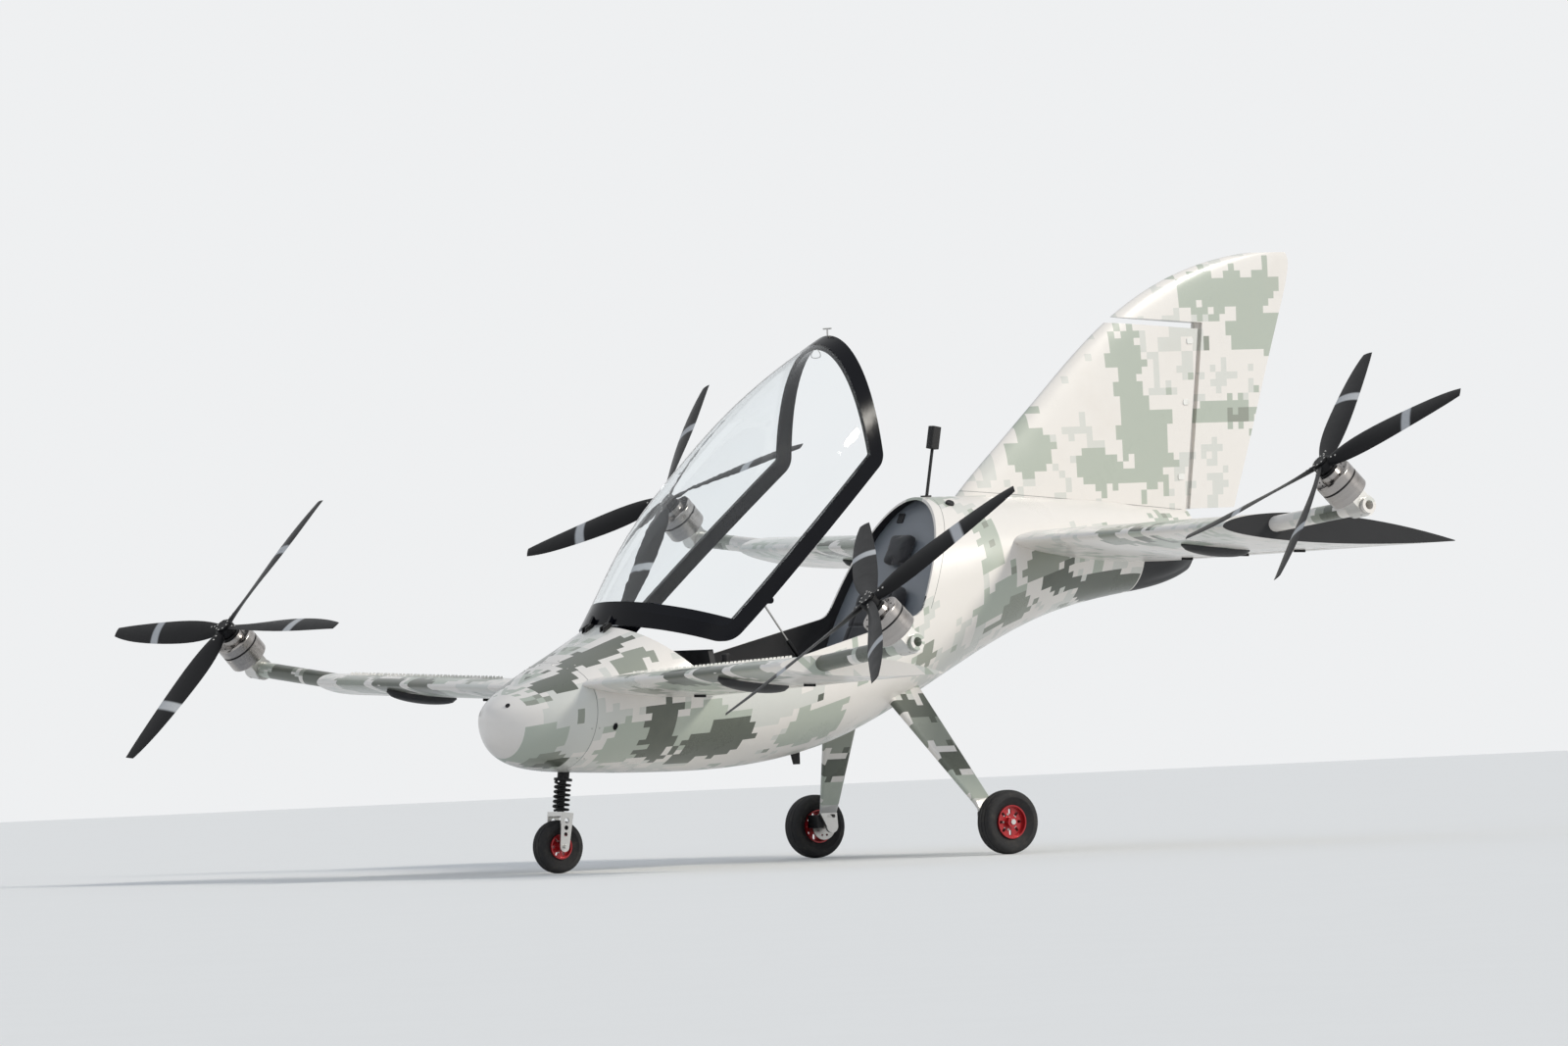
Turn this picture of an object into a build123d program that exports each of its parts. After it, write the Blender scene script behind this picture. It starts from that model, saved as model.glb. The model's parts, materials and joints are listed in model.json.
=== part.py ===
from build123d import *
from math import atan2, cos, degrees, hypot, radians, sin, tan
import os

# Single-seat electric multirotor aircraft with a low front wing and a high rear wing.
# Millimetres. +X is the aircraft's left, +Y aft, +Z up, and the ground is Z = 0.
# Stations are measured aft from the nose tip, which lies at Y = nose_y.

nose_y = -2050.0

# Body: walls, seams and cockpit opening
body_wall = 12.0
nose_seam = 330.0
tail_block = 3330.0
vent_front = 3385.0
vent_top = 1290.0
opening_gap = 6.0
rail_width = 68.0
rail_depth = 24.0
glass_thickness = 5.0
bulkhead_setback = 42.0
bulkhead_thickness = 12.0

# Cockpit opening, as straight runs in side view (station, height) with a radius at each bend
opening_front = (450.0, 1197.0)
opening_low = (893.0, 782.0)
opening_back = (2040.0, 1060.0)
opening_top = (2368.0, 1745.0)
opening_low_radius = 150.0
opening_back_radius = 90.0

# Canopy hinge, and the angle of the canopy in the open rest position
hinge_station = 597.0
hinge_height = 1062.0
canopy_open = 27.5
hinge_half_span = 70.0
hinge_pin_radius = 4.0
hinge_ear_radius = 10.0
hinge_knuckle_width = 16.0
hinge_ear_width = 8.0
hinge_leaf = 34.0
hinge_relief_gap = 2.0
running_gap = 0.5
pin_fit = 0.06

# Stay between the sill and the canopy rail: half span and both eyes (station, height)
stay_half_span = 345.0
stay_foot = (1537.0, 700.0)
stay_eye = (1215.0, 1143.0)
stay_tube_radius = 9.0
stay_rod_radius = 4.0
stay_tube_length = 330.0
stay_rod_length = 300.0
stay_eye_radius = 9.0
stay_pin_radius = 4.0
stay_eye_width = 10.0
pad_radius = 16.0

# Wings: station, half spans and heights of the leading edge, chord, thickness, incidence
front_wing = {
    "lead": 300.0, "corner": 1820.0, "tip": 2190.0, "root_height": 800.0,
    "corner_height": 862.0, "chord": 590.0, "thickness": 0.135, "incidence": 7.0,
}
rear_wing = {
    "lead": 2600.0, "corner": 1860.0, "tip": 2190.0, "root_height": 1356.0,
    "corner_height": 1382.0, "chord": 1000.0, "thickness": 0.115, "incidence": 6.0,
}
wing_root = 60.0
flap_share = 0.24
flap_inner = 480.0
flap_outer = 1600.0
flap_gap = 6.0
flap_side_gap = 8.0
pod_half_span = 1300.0
pod_length = 420.0
pod_width = 120.0
pod_depth = 50.0

# Arms that carry the motors: how far along the chord they leave the wing, and their rise
arm_radius = 35.0
arm_bore_radius = 20.0
arm_bore_depth = 150.0
arm_root = 1790.0
arm_end = 2615.0
arm_fit = 0.2
front_arm = {"station": 462.0, "end_height": 932.0, "rise": 3.5}
rear_arm = {"station": 2832.0, "end_height": 1440.0, "rise": 2.2}

# Motors and propellers
motor_half_span = 2550.0
shaft_tilt = 46.0
clamp_width = 92.0
clamp_radius = 46.0
motor_base = 70.0
motor_length = 126.0
motor_radius = 90.0
groove_place = 0.6
groove_width = 9.0
groove_depth = 7.0
collar_radius = 52.0
collar_length = 20.0
rotor_gap = 2.0
hub_radius = 43.5
hub_length = 66.0
prop_radius = 790.0
blade_count = 4
blade_plane = 40.0
prop_phases = {"front_left": 46.0, "front_right": 9.0, "rear_left": 24.0, "rear_right": 31.0}

# Fin and rudder
fin_ratio = 0.085
hinge_low = (3738.0, 1478.0)
hinge_top = (3838.0, 2300.0)
horn_front = (3300.0, 2342.0)
rudder_nose = 20.0
rudder_gap = 7.0

# Main gear
main_half_track = 744.0
main_station = 2190.0
main_tyre_radius = 140.0
main_tyre_width = 96.0
main_rim_radius = 73.0
leg_top = (205.0, 2010.0, 745.0)
leg_foot = (588.0, 2166.0, 236.0)
leg_top_chord = 200.0
leg_foot_chord = 92.0
leg_top_thickness = 40.0
leg_foot_thickness = 24.0
axle_radius = 12.0
axle_flange_radius = 30.0
disc_radius = 60.0
disc_thickness = 5.0
knuckle_thickness = 14.0

# Cockpit
seat_half_width = 190.0
seat_thickness = 66.0
pan_height = 600.0
pan_front = 1395.0
seat_top = 1200.0
headrest_size = (170.0, 150.0, 62.0)
headrest_height = 1330.0
panel_station = 905.0
panel_thickness = 26.0
panel_foot = 640.0
panel_top = 940.0
stick_station = 1250.0
stick_radius = 11.0
stick_top = 800.0
grip_radius = 19.0
grip_length = 120.0
battery_nose = (400.0, 760.0, 230.0, 690.0)
battery_seat = (1330.0, 1745.0, 185.0, pan_height - 0.5)

# Mast with its sensor head, on the spine, and the blade aerial under the keel
mast_station = 2336.0
mast_height = 1782.0
mast_lean = 50.0
mast_radius = 7.0
mast_flange_radius = 24.0
mast_flange = 8.0
mast_head = (46.0, 46.0, 98.0)
aerial_station = 1600.0
aerial_chord = 62.0
aerial_depth = 424.0

# Nose gear
strut_lean = 8.0
nose_tyre_radius = 115.0
nose_tyre_width = 80.0
nose_rim_radius = 54.0
strut_station = 388.0
strut_height = 470.0
strut_housing = (26.0, 62.0)
strut_collar = (40.0, 72.0)
piston_radius = 15.0
piston_end = 221.0
crown_top = 210.0
crown_bottom = 229.0
crown_depth = 62.0
fork_foot_radius = 23.0
spring_radius = 37.5
spring_wire = 5.5
spring_turns = 6.0
fork_plate = 7.0
tyre_gap = 9.0
nose_axle_radius = 8.0
axle_stub = 14.0


def sta(y):
    """Y of a station: nose_y + y."""
    return nose_y + y


def export(builder, name):
    builder.part.label = name
    export_step(builder.part, f"parts/{name}.step")


os.makedirs("parts", exist_ok=True)
side = Plane.YZ

# Body sections: station, half width, keel height, height of greatest width, top height.
# The top line runs over the closed canopy.
body_sections = [
    (30.0, 112.0, 552.0, 664.0, 738.0),
    (110.0, 226.0, 485.0, 676.0, 790.0),
    (250.0, 333.0, 447.0, 705.0, 868.0),
    (450.0, 402.0, 431.0, 730.0, 972.0),
    (700.0, 432.0, 421.0, 748.0, 1120.0),
    (1000.0, 441.0, 417.0, 764.0, 1308.0),
    (1350.0, 438.0, 436.0, 795.0, 1436.0),
    (1750.0, 407.0, 520.0, 900.0, 1532.0),
    (2150.0, 360.0, 688.0, 1055.0, 1568.0),
    (2550.0, 322.0, 886.0, 1210.0, 1567.0),
    (2950.0, 268.0, 1038.0, 1318.0, 1554.0),
    (3350.0, 190.0, 1114.0, 1352.0, 1520.0),
    (3710.0, 104.0, 1200.0, 1356.0, 1484.0),
]
nose_tip_height = 664.0
through = 600.0
round_arc = 0.5523  # control length of a curve that follows a quarter ellipse


def body_loft(inset):
    """Egg sections of four quarter curves, drawn in by inset and lofted from the nose tip."""
    sections = [Vertex(0, sta(inset), nose_tip_height)]
    with BuildPart() as body:
        for station, half, keel, wide, top in body_sections:
            level = Plane(origin=(0, sta(station), wide), x_dir=(1, 0, 0), z_dir=(0, -1, 0))
            w, low, high = half - inset, wide - keel - inset, top - wide - inset
            with BuildSketch(level) as egg:
                with BuildLine():
                    Bezier((0, -low), (round_arc * w, -low), (w, -round_arc * low), (w, 0))
                    Bezier((w, 0), (w, round_arc * high), (round_arc * w, high), (0, high))
                    Bezier((0, high), (-round_arc * w, high), (-w, round_arc * high), (-w, 0))
                    Bezier((-w, 0), (-w, -round_arc * low), (-round_arc * w, -low), (0, -low))
                make_face()
            sections.append(egg.sketch.face())
        loft(sections)
    return body.part


def opening_prism(inset, half_width=through):
    """The cockpit opening in side view, drawn in by inset and run through the body."""
    front, low, back, top = (
        (sta(y), z) for y, z in (opening_front, opening_low, opening_back, opening_top)
    )
    with BuildPart() as prism:
        with BuildSketch(side):
            with BuildLine():
                FilletPolyline(
                    front, low, back, top, radius=[opening_low_radius, opening_back_radius]
                )
                Polyline(top, (top[0], 1950), (front[0], 1950), front)
            make_face()
            if inset:
                offset(amount=-inset, kind=Kind.INTERSECTION)
        extrude(amount=half_width, both=True)
    return prism.part


seam_plane = Plane(origin=(0, sta(nose_seam), 0), x_dir=(1, 0, 0), z_dir=(0, 1, 0))
body_outer = body_loft(0.0)


def cavity(inset):
    """Space inside the skin, from the nose seam to the tail block, drawn in by inset."""
    with BuildPart() as space:
        add(body_loft(inset))
        split(bisect_by=seam_plane, keep=Keep.TOP)
        split(bisect_by=seam_plane.offset(tail_block - nose_seam), keep=Keep.BOTTOM)
    return space.part


body_inner = cavity(body_wall)
hinge_side = Plane(origin=(0, sta(hinge_station), hinge_height), x_dir=(0, 1, 0), z_dir=(1, 0, 0))


def hinge_relief(middle, width):
    """Round clearance about the canopy hinge axis, on both hinges."""
    with BuildPart() as relief:
        for x in (-hinge_half_span, hinge_half_span):
            for shift in {middle, -middle}:
                with BuildSketch(hinge_side.offset(x + shift - width / 2)):
                    Circle(hinge_ear_radius + hinge_relief_gap)
                extrude(amount=width)
    return relief.part


# Plane of the bulkhead, parallel to the back edge of the opening and set back from it
ring_run = (opening_top[0] - opening_back[0], opening_top[1] - opening_back[1])
ring_lean = degrees(atan2(ring_run[0], ring_run[1]))
bulkhead_plane = Plane(
    origin=(0, sta(opening_back[0]), opening_back[1]),
    x_dir=(1, 0, 0),
    z_dir=(0, cos(radians(ring_lean)), -sin(radians(ring_lean))),
)


def bulkhead_slab(front, thickness, inset):
    """Slab between two planes parallel to the ring, cut to the inner skin drawn in by inset."""
    with BuildPart() as slab:
        with BuildSketch(bulkhead_plane.offset(front)):
            Rectangle(1200, 2200)
        extrude(amount=thickness)
        add(cavity(body_wall + inset), mode=Mode.INTERSECT)
    return slab


# Nose cap, ahead of the screwed seam
with BuildPart() as nose_cap:
    add(body_outer)
    split(bisect_by=seam_plane, keep=Keep.BOTTOM)
export(nose_cap, "nose_cap")

# Tail vent: the dark cone under the spine, at the body's aft end
vent_box = Pos(0, sta(vent_front) + through, vent_top - through) * Box(
    2 * through, 2 * through, 2 * through
)

# Body shell: skin, cockpit opening and spine
with BuildPart() as fuselage:
    add(body_outer)
    split(bisect_by=seam_plane, keep=Keep.TOP)
    add(body_inner, mode=Mode.SUBTRACT)
    add(opening_prism(0.0), mode=Mode.SUBTRACT)
    add(vent_box, mode=Mode.SUBTRACT)
    add(hinge_relief(0.0, hinge_knuckle_width + 2 * running_gap), mode=Mode.SUBTRACT)
export(fuselage, "fuselage")

with BuildPart() as tail_vent:
    add(body_outer)
    add(vent_box, mode=Mode.INTERSECT)
export(tail_vent, "tail_vent")

cockpit_bulkhead = bulkhead_slab(bulkhead_setback, bulkhead_thickness, 0.0)
export(cockpit_bulkhead, "cockpit_bulkhead")


def cross_plane(x, y, z, drop=0.0):
    """Plane across the span at x, its own x running aft and sloping down by drop degrees."""
    return Plane(
        origin=(x, y, z),
        x_dir=(0, cos(radians(drop)), -sin(radians(drop))),
        z_dir=(1, 0, 0),
    )


def lead_height(wing, x):
    """Height of the leading edge, on a line through its root and corner heights."""
    share = (x - wing_root) / (wing["corner"] - wing_root)
    return wing["root_height"] + share * (wing["corner_height"] - wing["root_height"])


def wing_plane(wing, x):
    return cross_plane(x, sta(wing["lead"]), lead_height(wing, x), wing["incidence"])


def wing_profile(chord, depth):
    """Cambered section: one curve over the top, one below and a thin blunt trailing edge."""
    blunt = 2.0
    with BuildSketch() as profile:
        with BuildLine():
            Bezier((0, 0), (0, 0.5 * depth), (0.42 * chord, 1.27 * depth), (chord, blunt))
            Line((chord, blunt), (chord, -blunt))
            Bezier((chord, -blunt), (0.42 * chord, -0.68 * depth), (0, -0.33 * depth), (0, 0))
        make_face()
    return profile.sketch


def wing_mid(wing, x, station):
    """Height of the middle of the section at a station: lead - run * tan(incidence) + camber."""
    run = station - wing["lead"]
    depth = wing["chord"] * wing["thickness"]
    return lead_height(wing, x) - run * tan(radians(wing["incidence"])) + 0.12 * depth


def span_loft(wing, shape, first, last):
    """One outline carried between two planes across the span of a wing."""
    with BuildPart() as bar:
        with BuildSketch(wing_plane(wing, first)):
            add(shape)
        with BuildSketch(wing_plane(wing, last)):
            add(shape)
        loft(ruled=True)
    return bar.part


def flap_shapes(wing):
    """Hinge centre, nose circle and the outline of everything aft of the hinge."""
    chord, depth = wing["chord"], wing["chord"] * wing["thickness"]
    centre = ((1 - flap_share) * chord, 0.10 * depth)
    nose = 0.30 * depth
    with BuildSketch() as round_nose:
        with Locations(centre):
            Circle(nose)
    with BuildSketch() as aft:
        with Locations((centre[0] + chord / 2, 0)):
            Rectangle(chord, 4 * depth)
    with BuildSketch() as well:
        with Locations((centre[0] - nose - flap_gap + chord / 2, 0)):
            Rectangle(chord, 4 * depth)
    return centre, round_nose.sketch, aft.sketch, well.sketch


def arm_axis(wing, arm):
    """Axis of an arm from the middle of the wing section out to the motor."""
    root = Vector(arm_root, sta(arm["station"]), wing_mid(wing, arm_root, arm["station"]))
    end = Vector(motor_half_span, sta(arm["station"]), arm["end_height"])
    return root, (end - root).normalized()


def build_wing(wing, arm):
    """Panel with a raked tip, a flap well and a socket for the arm, and the flap in its well."""
    chord, depth = wing["chord"], wing["chord"] * wing["thickness"]
    rake = Plane(
        origin=(wing["corner"], sta(wing["lead"]), 0),
        x_dir=(0, 0, 1),
        z_dir=(chord, wing["corner"] - wing["tip"], 0),
    )
    root, along = arm_axis(wing, arm)
    centre, round_nose, aft, well = flap_shapes(wing)
    whole = span_loft(wing, wing_profile(chord, depth), wing_root, wing["tip"] + 10)
    with BuildPart() as panel:
        add(whole)
        split(bisect_by=rake, keep=Keep.BOTTOM)
        add(
            span_loft(wing, well, flap_inner - flap_side_gap, flap_outer + flap_side_gap),
            mode=Mode.SUBTRACT,
        )
        with BuildSketch(Plane(origin=root - along * arm_fit, z_dir=along)):
            Circle(arm_radius + arm_fit)
        extrude(amount=wing["tip"], mode=Mode.SUBTRACT)
    with BuildPart() as flap:
        add(span_loft(wing, aft, flap_inner, flap_outer))
        add(span_loft(wing, round_nose, flap_inner, flap_outer))
        add(whole, mode=Mode.INTERSECT)
    return panel, flap


def build_arm(wing, arm):
    """Tube from its socket in the wing to past the motor, bored from its open end."""
    root, along = arm_axis(wing, arm)
    length = (arm_end - arm_root) / along.X
    with BuildPart() as tube:
        with BuildSketch(Plane(origin=root, z_dir=along)):
            Circle(arm_radius)
        extrude(amount=length)
        with BuildSketch(Plane(origin=root + along * length, z_dir=along)):
            Circle(arm_bore_radius)
        extrude(amount=-arm_bore_depth, mode=Mode.SUBTRACT)
    return tube


def motor_plane(wing, arm):
    """Plane across the motor shaft at the arm's axis, its z up the shaft, its x along the arm."""
    root, along = arm_axis(wing, arm)
    centre = root + along * ((motor_half_span - arm_root) / along.X)
    shaft = Vector(0, -cos(radians(shaft_tilt)), sin(radians(shaft_tilt)))
    upright = (shaft - along * shaft.dot(along)).normalized()
    return Plane(origin=centre, x_dir=along, z_dir=upright)


def build_mount(plane):
    """Clamp round the arm with a flat seat for the motor."""
    across = Plane(origin=plane.origin, x_dir=plane.z_dir, z_dir=plane.x_dir)
    with BuildPart() as mount:
        with BuildSketch(across):
            Circle(clamp_radius)
            with Locations((motor_base / 2, 0)):
                Rectangle(motor_base, 1.7 * clamp_radius)
            Circle(arm_radius + arm_fit, mode=Mode.SUBTRACT)
        extrude(amount=clamp_width / 2, both=True)
    return mount


def build_motor(plane):
    """Round can with a groove and a collar, turned about the shaft."""
    groove = motor_base + groove_place * motor_length
    top = motor_base + motor_length
    round_edge = 9.0
    section = Plane(origin=plane.origin, x_dir=plane.x_dir, z_dir=plane.y_dir * -1)
    with BuildPart() as motor:
        with BuildSketch(section):
            with BuildLine():
                FilletPolyline(
                    (0, motor_base), (motor_radius, motor_base), (motor_radius, groove),
                    radius=round_edge,
                )
                Polyline(
                    (motor_radius, groove),
                    (motor_radius - groove_depth, groove),
                    (motor_radius - groove_depth, groove + groove_width),
                    (motor_radius, groove + groove_width),
                )
                FilletPolyline(
                    (motor_radius, groove + groove_width), (motor_radius, top), (collar_radius, top),
                    radius=round_edge,
                )
                Polyline(
                    (collar_radius, top),
                    (collar_radius - 4, top + collar_length),
                    (0, top + collar_length),
                    (0, motor_base),
                )
            make_face()
        revolve(axis=Axis(plane.origin, plane.z_dir))
    return motor


# Blade sections: radius, chord, thickness, pitch in degrees, offset of the chord's middle
blade_sections = [
    (34.0, 44.0, 24.0, 38.0, 0.0),
    (130.0, 84.0, 16.0, 30.0, 6.0),
    (330.0, 112.0, 12.0, 20.0, 8.0),
    (620.0, 92.0, 8.0, 13.0, 2.0),
    (prop_radius, 46.0, 4.0, 10.0, -12.0),
]


def build_blade(hand):
    """One blade along +X, its lens sections pitched about the radius, by hand left or right."""
    with BuildPart() as blade:
        for radius, chord, depth, pitch, shift in blade_sections:
            level = Plane(
                origin=(radius, shift, blade_plane),
                x_dir=(0, cos(radians(pitch)), hand * sin(radians(pitch))),
                z_dir=(1, 0, 0),
            )
            with BuildSketch(level):
                with BuildLine():
                    ThreePointArc((-chord / 2, 0), (0, 0.7 * depth), (chord / 2, 0))
                    ThreePointArc((chord / 2, 0), (0, -0.3 * depth), (-chord / 2, 0))
                make_face()
        loft()
    return blade.part


def build_propeller(plane, phase, hand):
    """Hub of two flanges and a cap with the blades clamped between them."""
    seat = motor_base + motor_length + collar_length + running_gap
    flange = 12.0
    blade = build_blade(hand)
    with BuildPart(plane.offset(seat)) as propeller:
        Cylinder(hub_radius, flange, align=(Align.CENTER, Align.CENTER, Align.MIN))
        Cylinder(0.8 * hub_radius, hub_length, align=(Align.CENTER, Align.CENTER, Align.MIN))
        with Locations((0, 0, blade_plane)):
            Cylinder(hub_radius, 30.0)
        with PolarLocations(0, blade_count, start_angle=phase):
            add(blade)
    return propeller


def mirrored(builder):
    with BuildPart() as other:
        mirror(builder.part, about=Plane.YZ)
    return other


def off_body(builder):
    """What of a piece lies outside the body's skin."""
    with BuildPart() as outside:
        add(builder.part)
        add(body_outer, mode=Mode.SUBTRACT)
    return outside


def paired(builder):
    with BuildPart() as both:
        add(builder.part)
        mirror(builder.part, about=Plane.YZ)
    return both


rows = {"front": (front_wing, front_arm), "rear": (rear_wing, rear_arm)}
for row, (wing, arm) in rows.items():
    panel, flap = build_wing(wing, arm)
    tube = build_arm(wing, arm)
    plane = motor_plane(wing, arm)
    mount = build_mount(plane)
    motor = build_motor(plane)
    other_plane = Plane(
        origin=(-plane.origin.X, plane.origin.Y, plane.origin.Z),
        x_dir=(plane.x_dir.X, plane.x_dir.Y, -plane.x_dir.Z),
        z_dir=(-plane.z_dir.X, plane.z_dir.Y, plane.z_dir.Z),
    )
    export(paired(mount), f"{row}_motor_mounts")
    export(off_body(panel), f"{row}_wing_left")
    export(off_body(mirrored(panel)), f"{row}_wing_right")
    pieces = {"flap": flap, "arm": tube, "motor": motor}
    for name, piece in pieces.items():
        export(piece, f"{row}_{name}_left")
        export(mirrored(piece), f"{row}_{name}_right")
    left_prop = build_propeller(plane, prop_phases[row + "_left"], 1)
    right_prop = build_propeller(other_plane, prop_phases[row + "_right"], -1)
    export(left_prop, f"{row}_propeller_left")
    export(right_prop, f"{row}_propeller_right")
    print(row, "motor centre", plane.origin, "shaft", plane.z_dir, "arm", plane.x_dir)
    centre, nose, aft, well = flap_shapes(wing)
    for x in (flap_inner, flap_outer):
        print(row, "flap hinge", wing_plane(wing, x).from_local_coords(Vector(*centre, 0)))

# Fin sections: height, station of the leading edge, station of the trailing edge
fin_sections = [
    (1430.0, 2390.0, 3985.0),
    (1600.0, 2530.0, 4042.0),
    (1970.0, 2935.0, 4166.0),
    (2340.0, 3375.0, 4290.0),
    (2525.0, 3745.0, 4345.0),
    (2605.0, 4120.0, 4330.0),
]


def fin_loft():
    with BuildPart() as fin_body:
        for height, lead, trail in fin_sections:
            chord = trail - lead
            depth = fin_ratio * chord
            level = Plane(origin=(0, sta(lead), height), x_dir=(0, 1, 0), z_dir=(0, 0, 1))
            with BuildSketch(level):
                with BuildLine():
                    Bezier((0, 0), (0, 0.55 * depth), (0.4 * chord, 0.95 * depth), (chord, 2))
                    Line((chord, 2), (chord, -2))
                    Bezier(
                        (chord, -2), (0.4 * chord, -0.95 * depth), (0, -0.55 * depth), (0, 0)
                    )
                make_face()
        loft()
    return fin_body.part


def fin_region(shift, low):
    """Side view of all that swings with the rudder: the horn and what is aft of the hinge."""
    lean = (hinge_top[0] - hinge_low[0]) / (hinge_top[1] - hinge_low[1])
    line = [
        (horn_front[0] - 200, horn_front[1] + 16 - shift),
        (hinge_top[0] - shift, hinge_top[1] - shift),
        (hinge_low[0] - shift - lean * (hinge_low[1] - low), low),
        (4600.0, low),
        (4600.0, 2800.0),
        (horn_front[0] - 200, 2800.0),
    ]
    with BuildPart() as region:
        with BuildSketch(side):
            with BuildLine():
                Polyline(*[(sta(y), z) for y, z in line], close=True)
            make_face()
        extrude(amount=through, both=True)
    return region.part


fin_whole = fin_loft()
rudder_axis = Plane(
    origin=(0, sta(hinge_low[0]), hinge_low[1]),
    z_dir=(0, hinge_top[0] - hinge_low[0], hinge_top[1] - hinge_low[1]),
)
rudder_span = hypot(hinge_top[0] - hinge_low[0], hinge_top[1] - hinge_low[1])
with BuildPart() as fin:
    add(fin_whole)
    add(fin_region(rudder_nose + rudder_gap, 1300.0), mode=Mode.SUBTRACT)
    add(body_outer, mode=Mode.SUBTRACT)
export(fin, "fin")

with BuildPart() as rudder:
    add(fin_region(0.0, hinge_low[1]))
    with BuildSketch(rudder_axis):
        Circle(rudder_nose)
    extrude(amount=rudder_span)
    add(fin_whole, mode=Mode.INTERSECT)
export(rudder, "rudder")

# Canopy, modelled closed and turned open about its hinge
hinge_axis = Axis((0, sta(hinge_station), hinge_height), (1, 0, 0))


def opened(builder):
    with BuildPart() as turned:
        add(builder.part.rotate(hinge_axis, canopy_open))
    return turned


def canopy_leaf(x):
    """Knuckle of the canopy's half of a hinge with its leaf, run on into the frame."""
    with BuildPart() as leaf:
        with BuildSketch(hinge_side.offset(x - hinge_knuckle_width / 2)):
            Circle(hinge_ear_radius)
            with BuildLine():
                Polyline(
                    (0, hinge_ear_radius),
                    (hinge_leaf, hinge_ear_radius + 20),
                    (hinge_leaf, -6),
                    (0, -hinge_ear_radius),
                    close=True,
                )
            make_face()
            Circle(hinge_pin_radius + pin_fit, mode=Mode.SUBTRACT)
        extrude(amount=hinge_knuckle_width)
    return leaf.part


with BuildPart() as canopy_closed:
    add(body_outer)
    add(body_loft(rail_depth), mode=Mode.SUBTRACT)
    add(opening_prism(opening_gap), mode=Mode.INTERSECT)
    add(opening_prism(opening_gap + rail_width, 2 * through), mode=Mode.SUBTRACT)
    ear_middle = hinge_knuckle_width / 2 + running_gap + hinge_ear_width / 2
    add(hinge_relief(ear_middle, hinge_ear_width + 2 * running_gap), mode=Mode.SUBTRACT)
    for x in (-hinge_half_span, hinge_half_span):
        add(canopy_leaf(x))
# Stay: from a pin inside the sill up to one inside the canopy rail
stay_run = (stay_eye[0] - stay_foot[0], stay_eye[1] - stay_foot[1])
stay_direction = Vector(0, *stay_run).normalized()
stay_length = hypot(*stay_run)
foot = Vector(stay_half_span, sta(stay_foot[0]), stay_foot[1])
eye = Vector(stay_half_span, sta(stay_eye[0]), stay_eye[1])

# Pad inside the canopy rail, beside which the eye of the stay lies
with BuildPart() as rail_pad:
    with BuildSketch(
        Plane(origin=eye, x_dir=(0, 1, 0), z_dir=(1, 0, 0)).offset(stay_eye_width / 2 + running_gap)
    ):
        Circle(pad_radius)
    extrude(amount=through)
    with BuildPart(mode=Mode.PRIVATE) as rail_space:
        add(body_loft(rail_depth).rotate(hinge_axis, canopy_open))
    add(rail_space.part, mode=Mode.INTERSECT)

with BuildPart() as canopy_frame:
    add(canopy_closed.part.rotate(hinge_axis, canopy_open))
    add(rail_pad.part)
export(canopy_frame, "canopy_frame")

with BuildPart() as glass_closed:
    add(body_outer)
    add(body_loft(glass_thickness), mode=Mode.SUBTRACT)
    add(opening_prism(opening_gap + rail_width), mode=Mode.INTERSECT)
export(opened(glass_closed), "canopy_glass")

with BuildPart() as canopy_hinge:
    for x in (-hinge_half_span, hinge_half_span):
        for edge in (
            x - hinge_knuckle_width / 2 - running_gap - hinge_ear_width,
            x + hinge_knuckle_width / 2 + running_gap,
        ):
            with BuildSketch(hinge_side.offset(edge)):
                Circle(hinge_ear_radius)
                with BuildLine():
                    Polyline(
                        (0, hinge_ear_radius), (-hinge_leaf, -8), (-hinge_leaf, -50),
                        (0, -hinge_ear_radius), close=True,
                    )
                make_face()
            extrude(amount=hinge_ear_width)
        with BuildSketch(hinge_side.offset(x - hinge_knuckle_width / 2 - hinge_ear_width)):
            Circle(hinge_pin_radius)
        extrude(amount=hinge_knuckle_width + 2 * hinge_ear_width)
    add(body_outer, mode=Mode.SUBTRACT)
export(canopy_hinge, "canopy_hinge")

# Stay: a tube hinged inside the sill, with a rod that slides in it up to the canopy rail
with BuildPart() as stay_cylinder:
    with BuildSketch(Plane(origin=foot, z_dir=stay_direction)):
        Circle(stay_tube_radius)
    extrude(amount=stay_tube_length)
    with BuildSketch(Plane(origin=foot, x_dir=(0, 1, 0), z_dir=(1, 0, 0))):
        Circle(stay_eye_radius)
    extrude(amount=stay_tube_radius, both=True)
    with BuildSketch(Plane(origin=foot + stay_direction * 2 * stay_eye_radius, z_dir=stay_direction)):
        Circle(stay_rod_radius + running_gap / 2)
    extrude(amount=stay_tube_length, mode=Mode.SUBTRACT)
    with BuildSketch(Plane(origin=foot, x_dir=(0, 1, 0), z_dir=(1, 0, 0))):
        Circle(stay_pin_radius + pin_fit)
    extrude(amount=2 * stay_tube_radius, both=True, mode=Mode.SUBTRACT)
export(stay_cylinder, "stay_cylinder")

with BuildPart() as stay_rod:
    with BuildSketch(Plane(origin=eye, z_dir=stay_direction * -1)):
        Circle(stay_rod_radius)
    extrude(amount=stay_rod_length)
    with BuildSketch(Plane(origin=eye, x_dir=(0, 1, 0), z_dir=(1, 0, 0))):
        Circle(stay_eye_radius)
    extrude(amount=stay_eye_width / 2, both=True)
export(stay_rod, "stay_rod")

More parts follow.
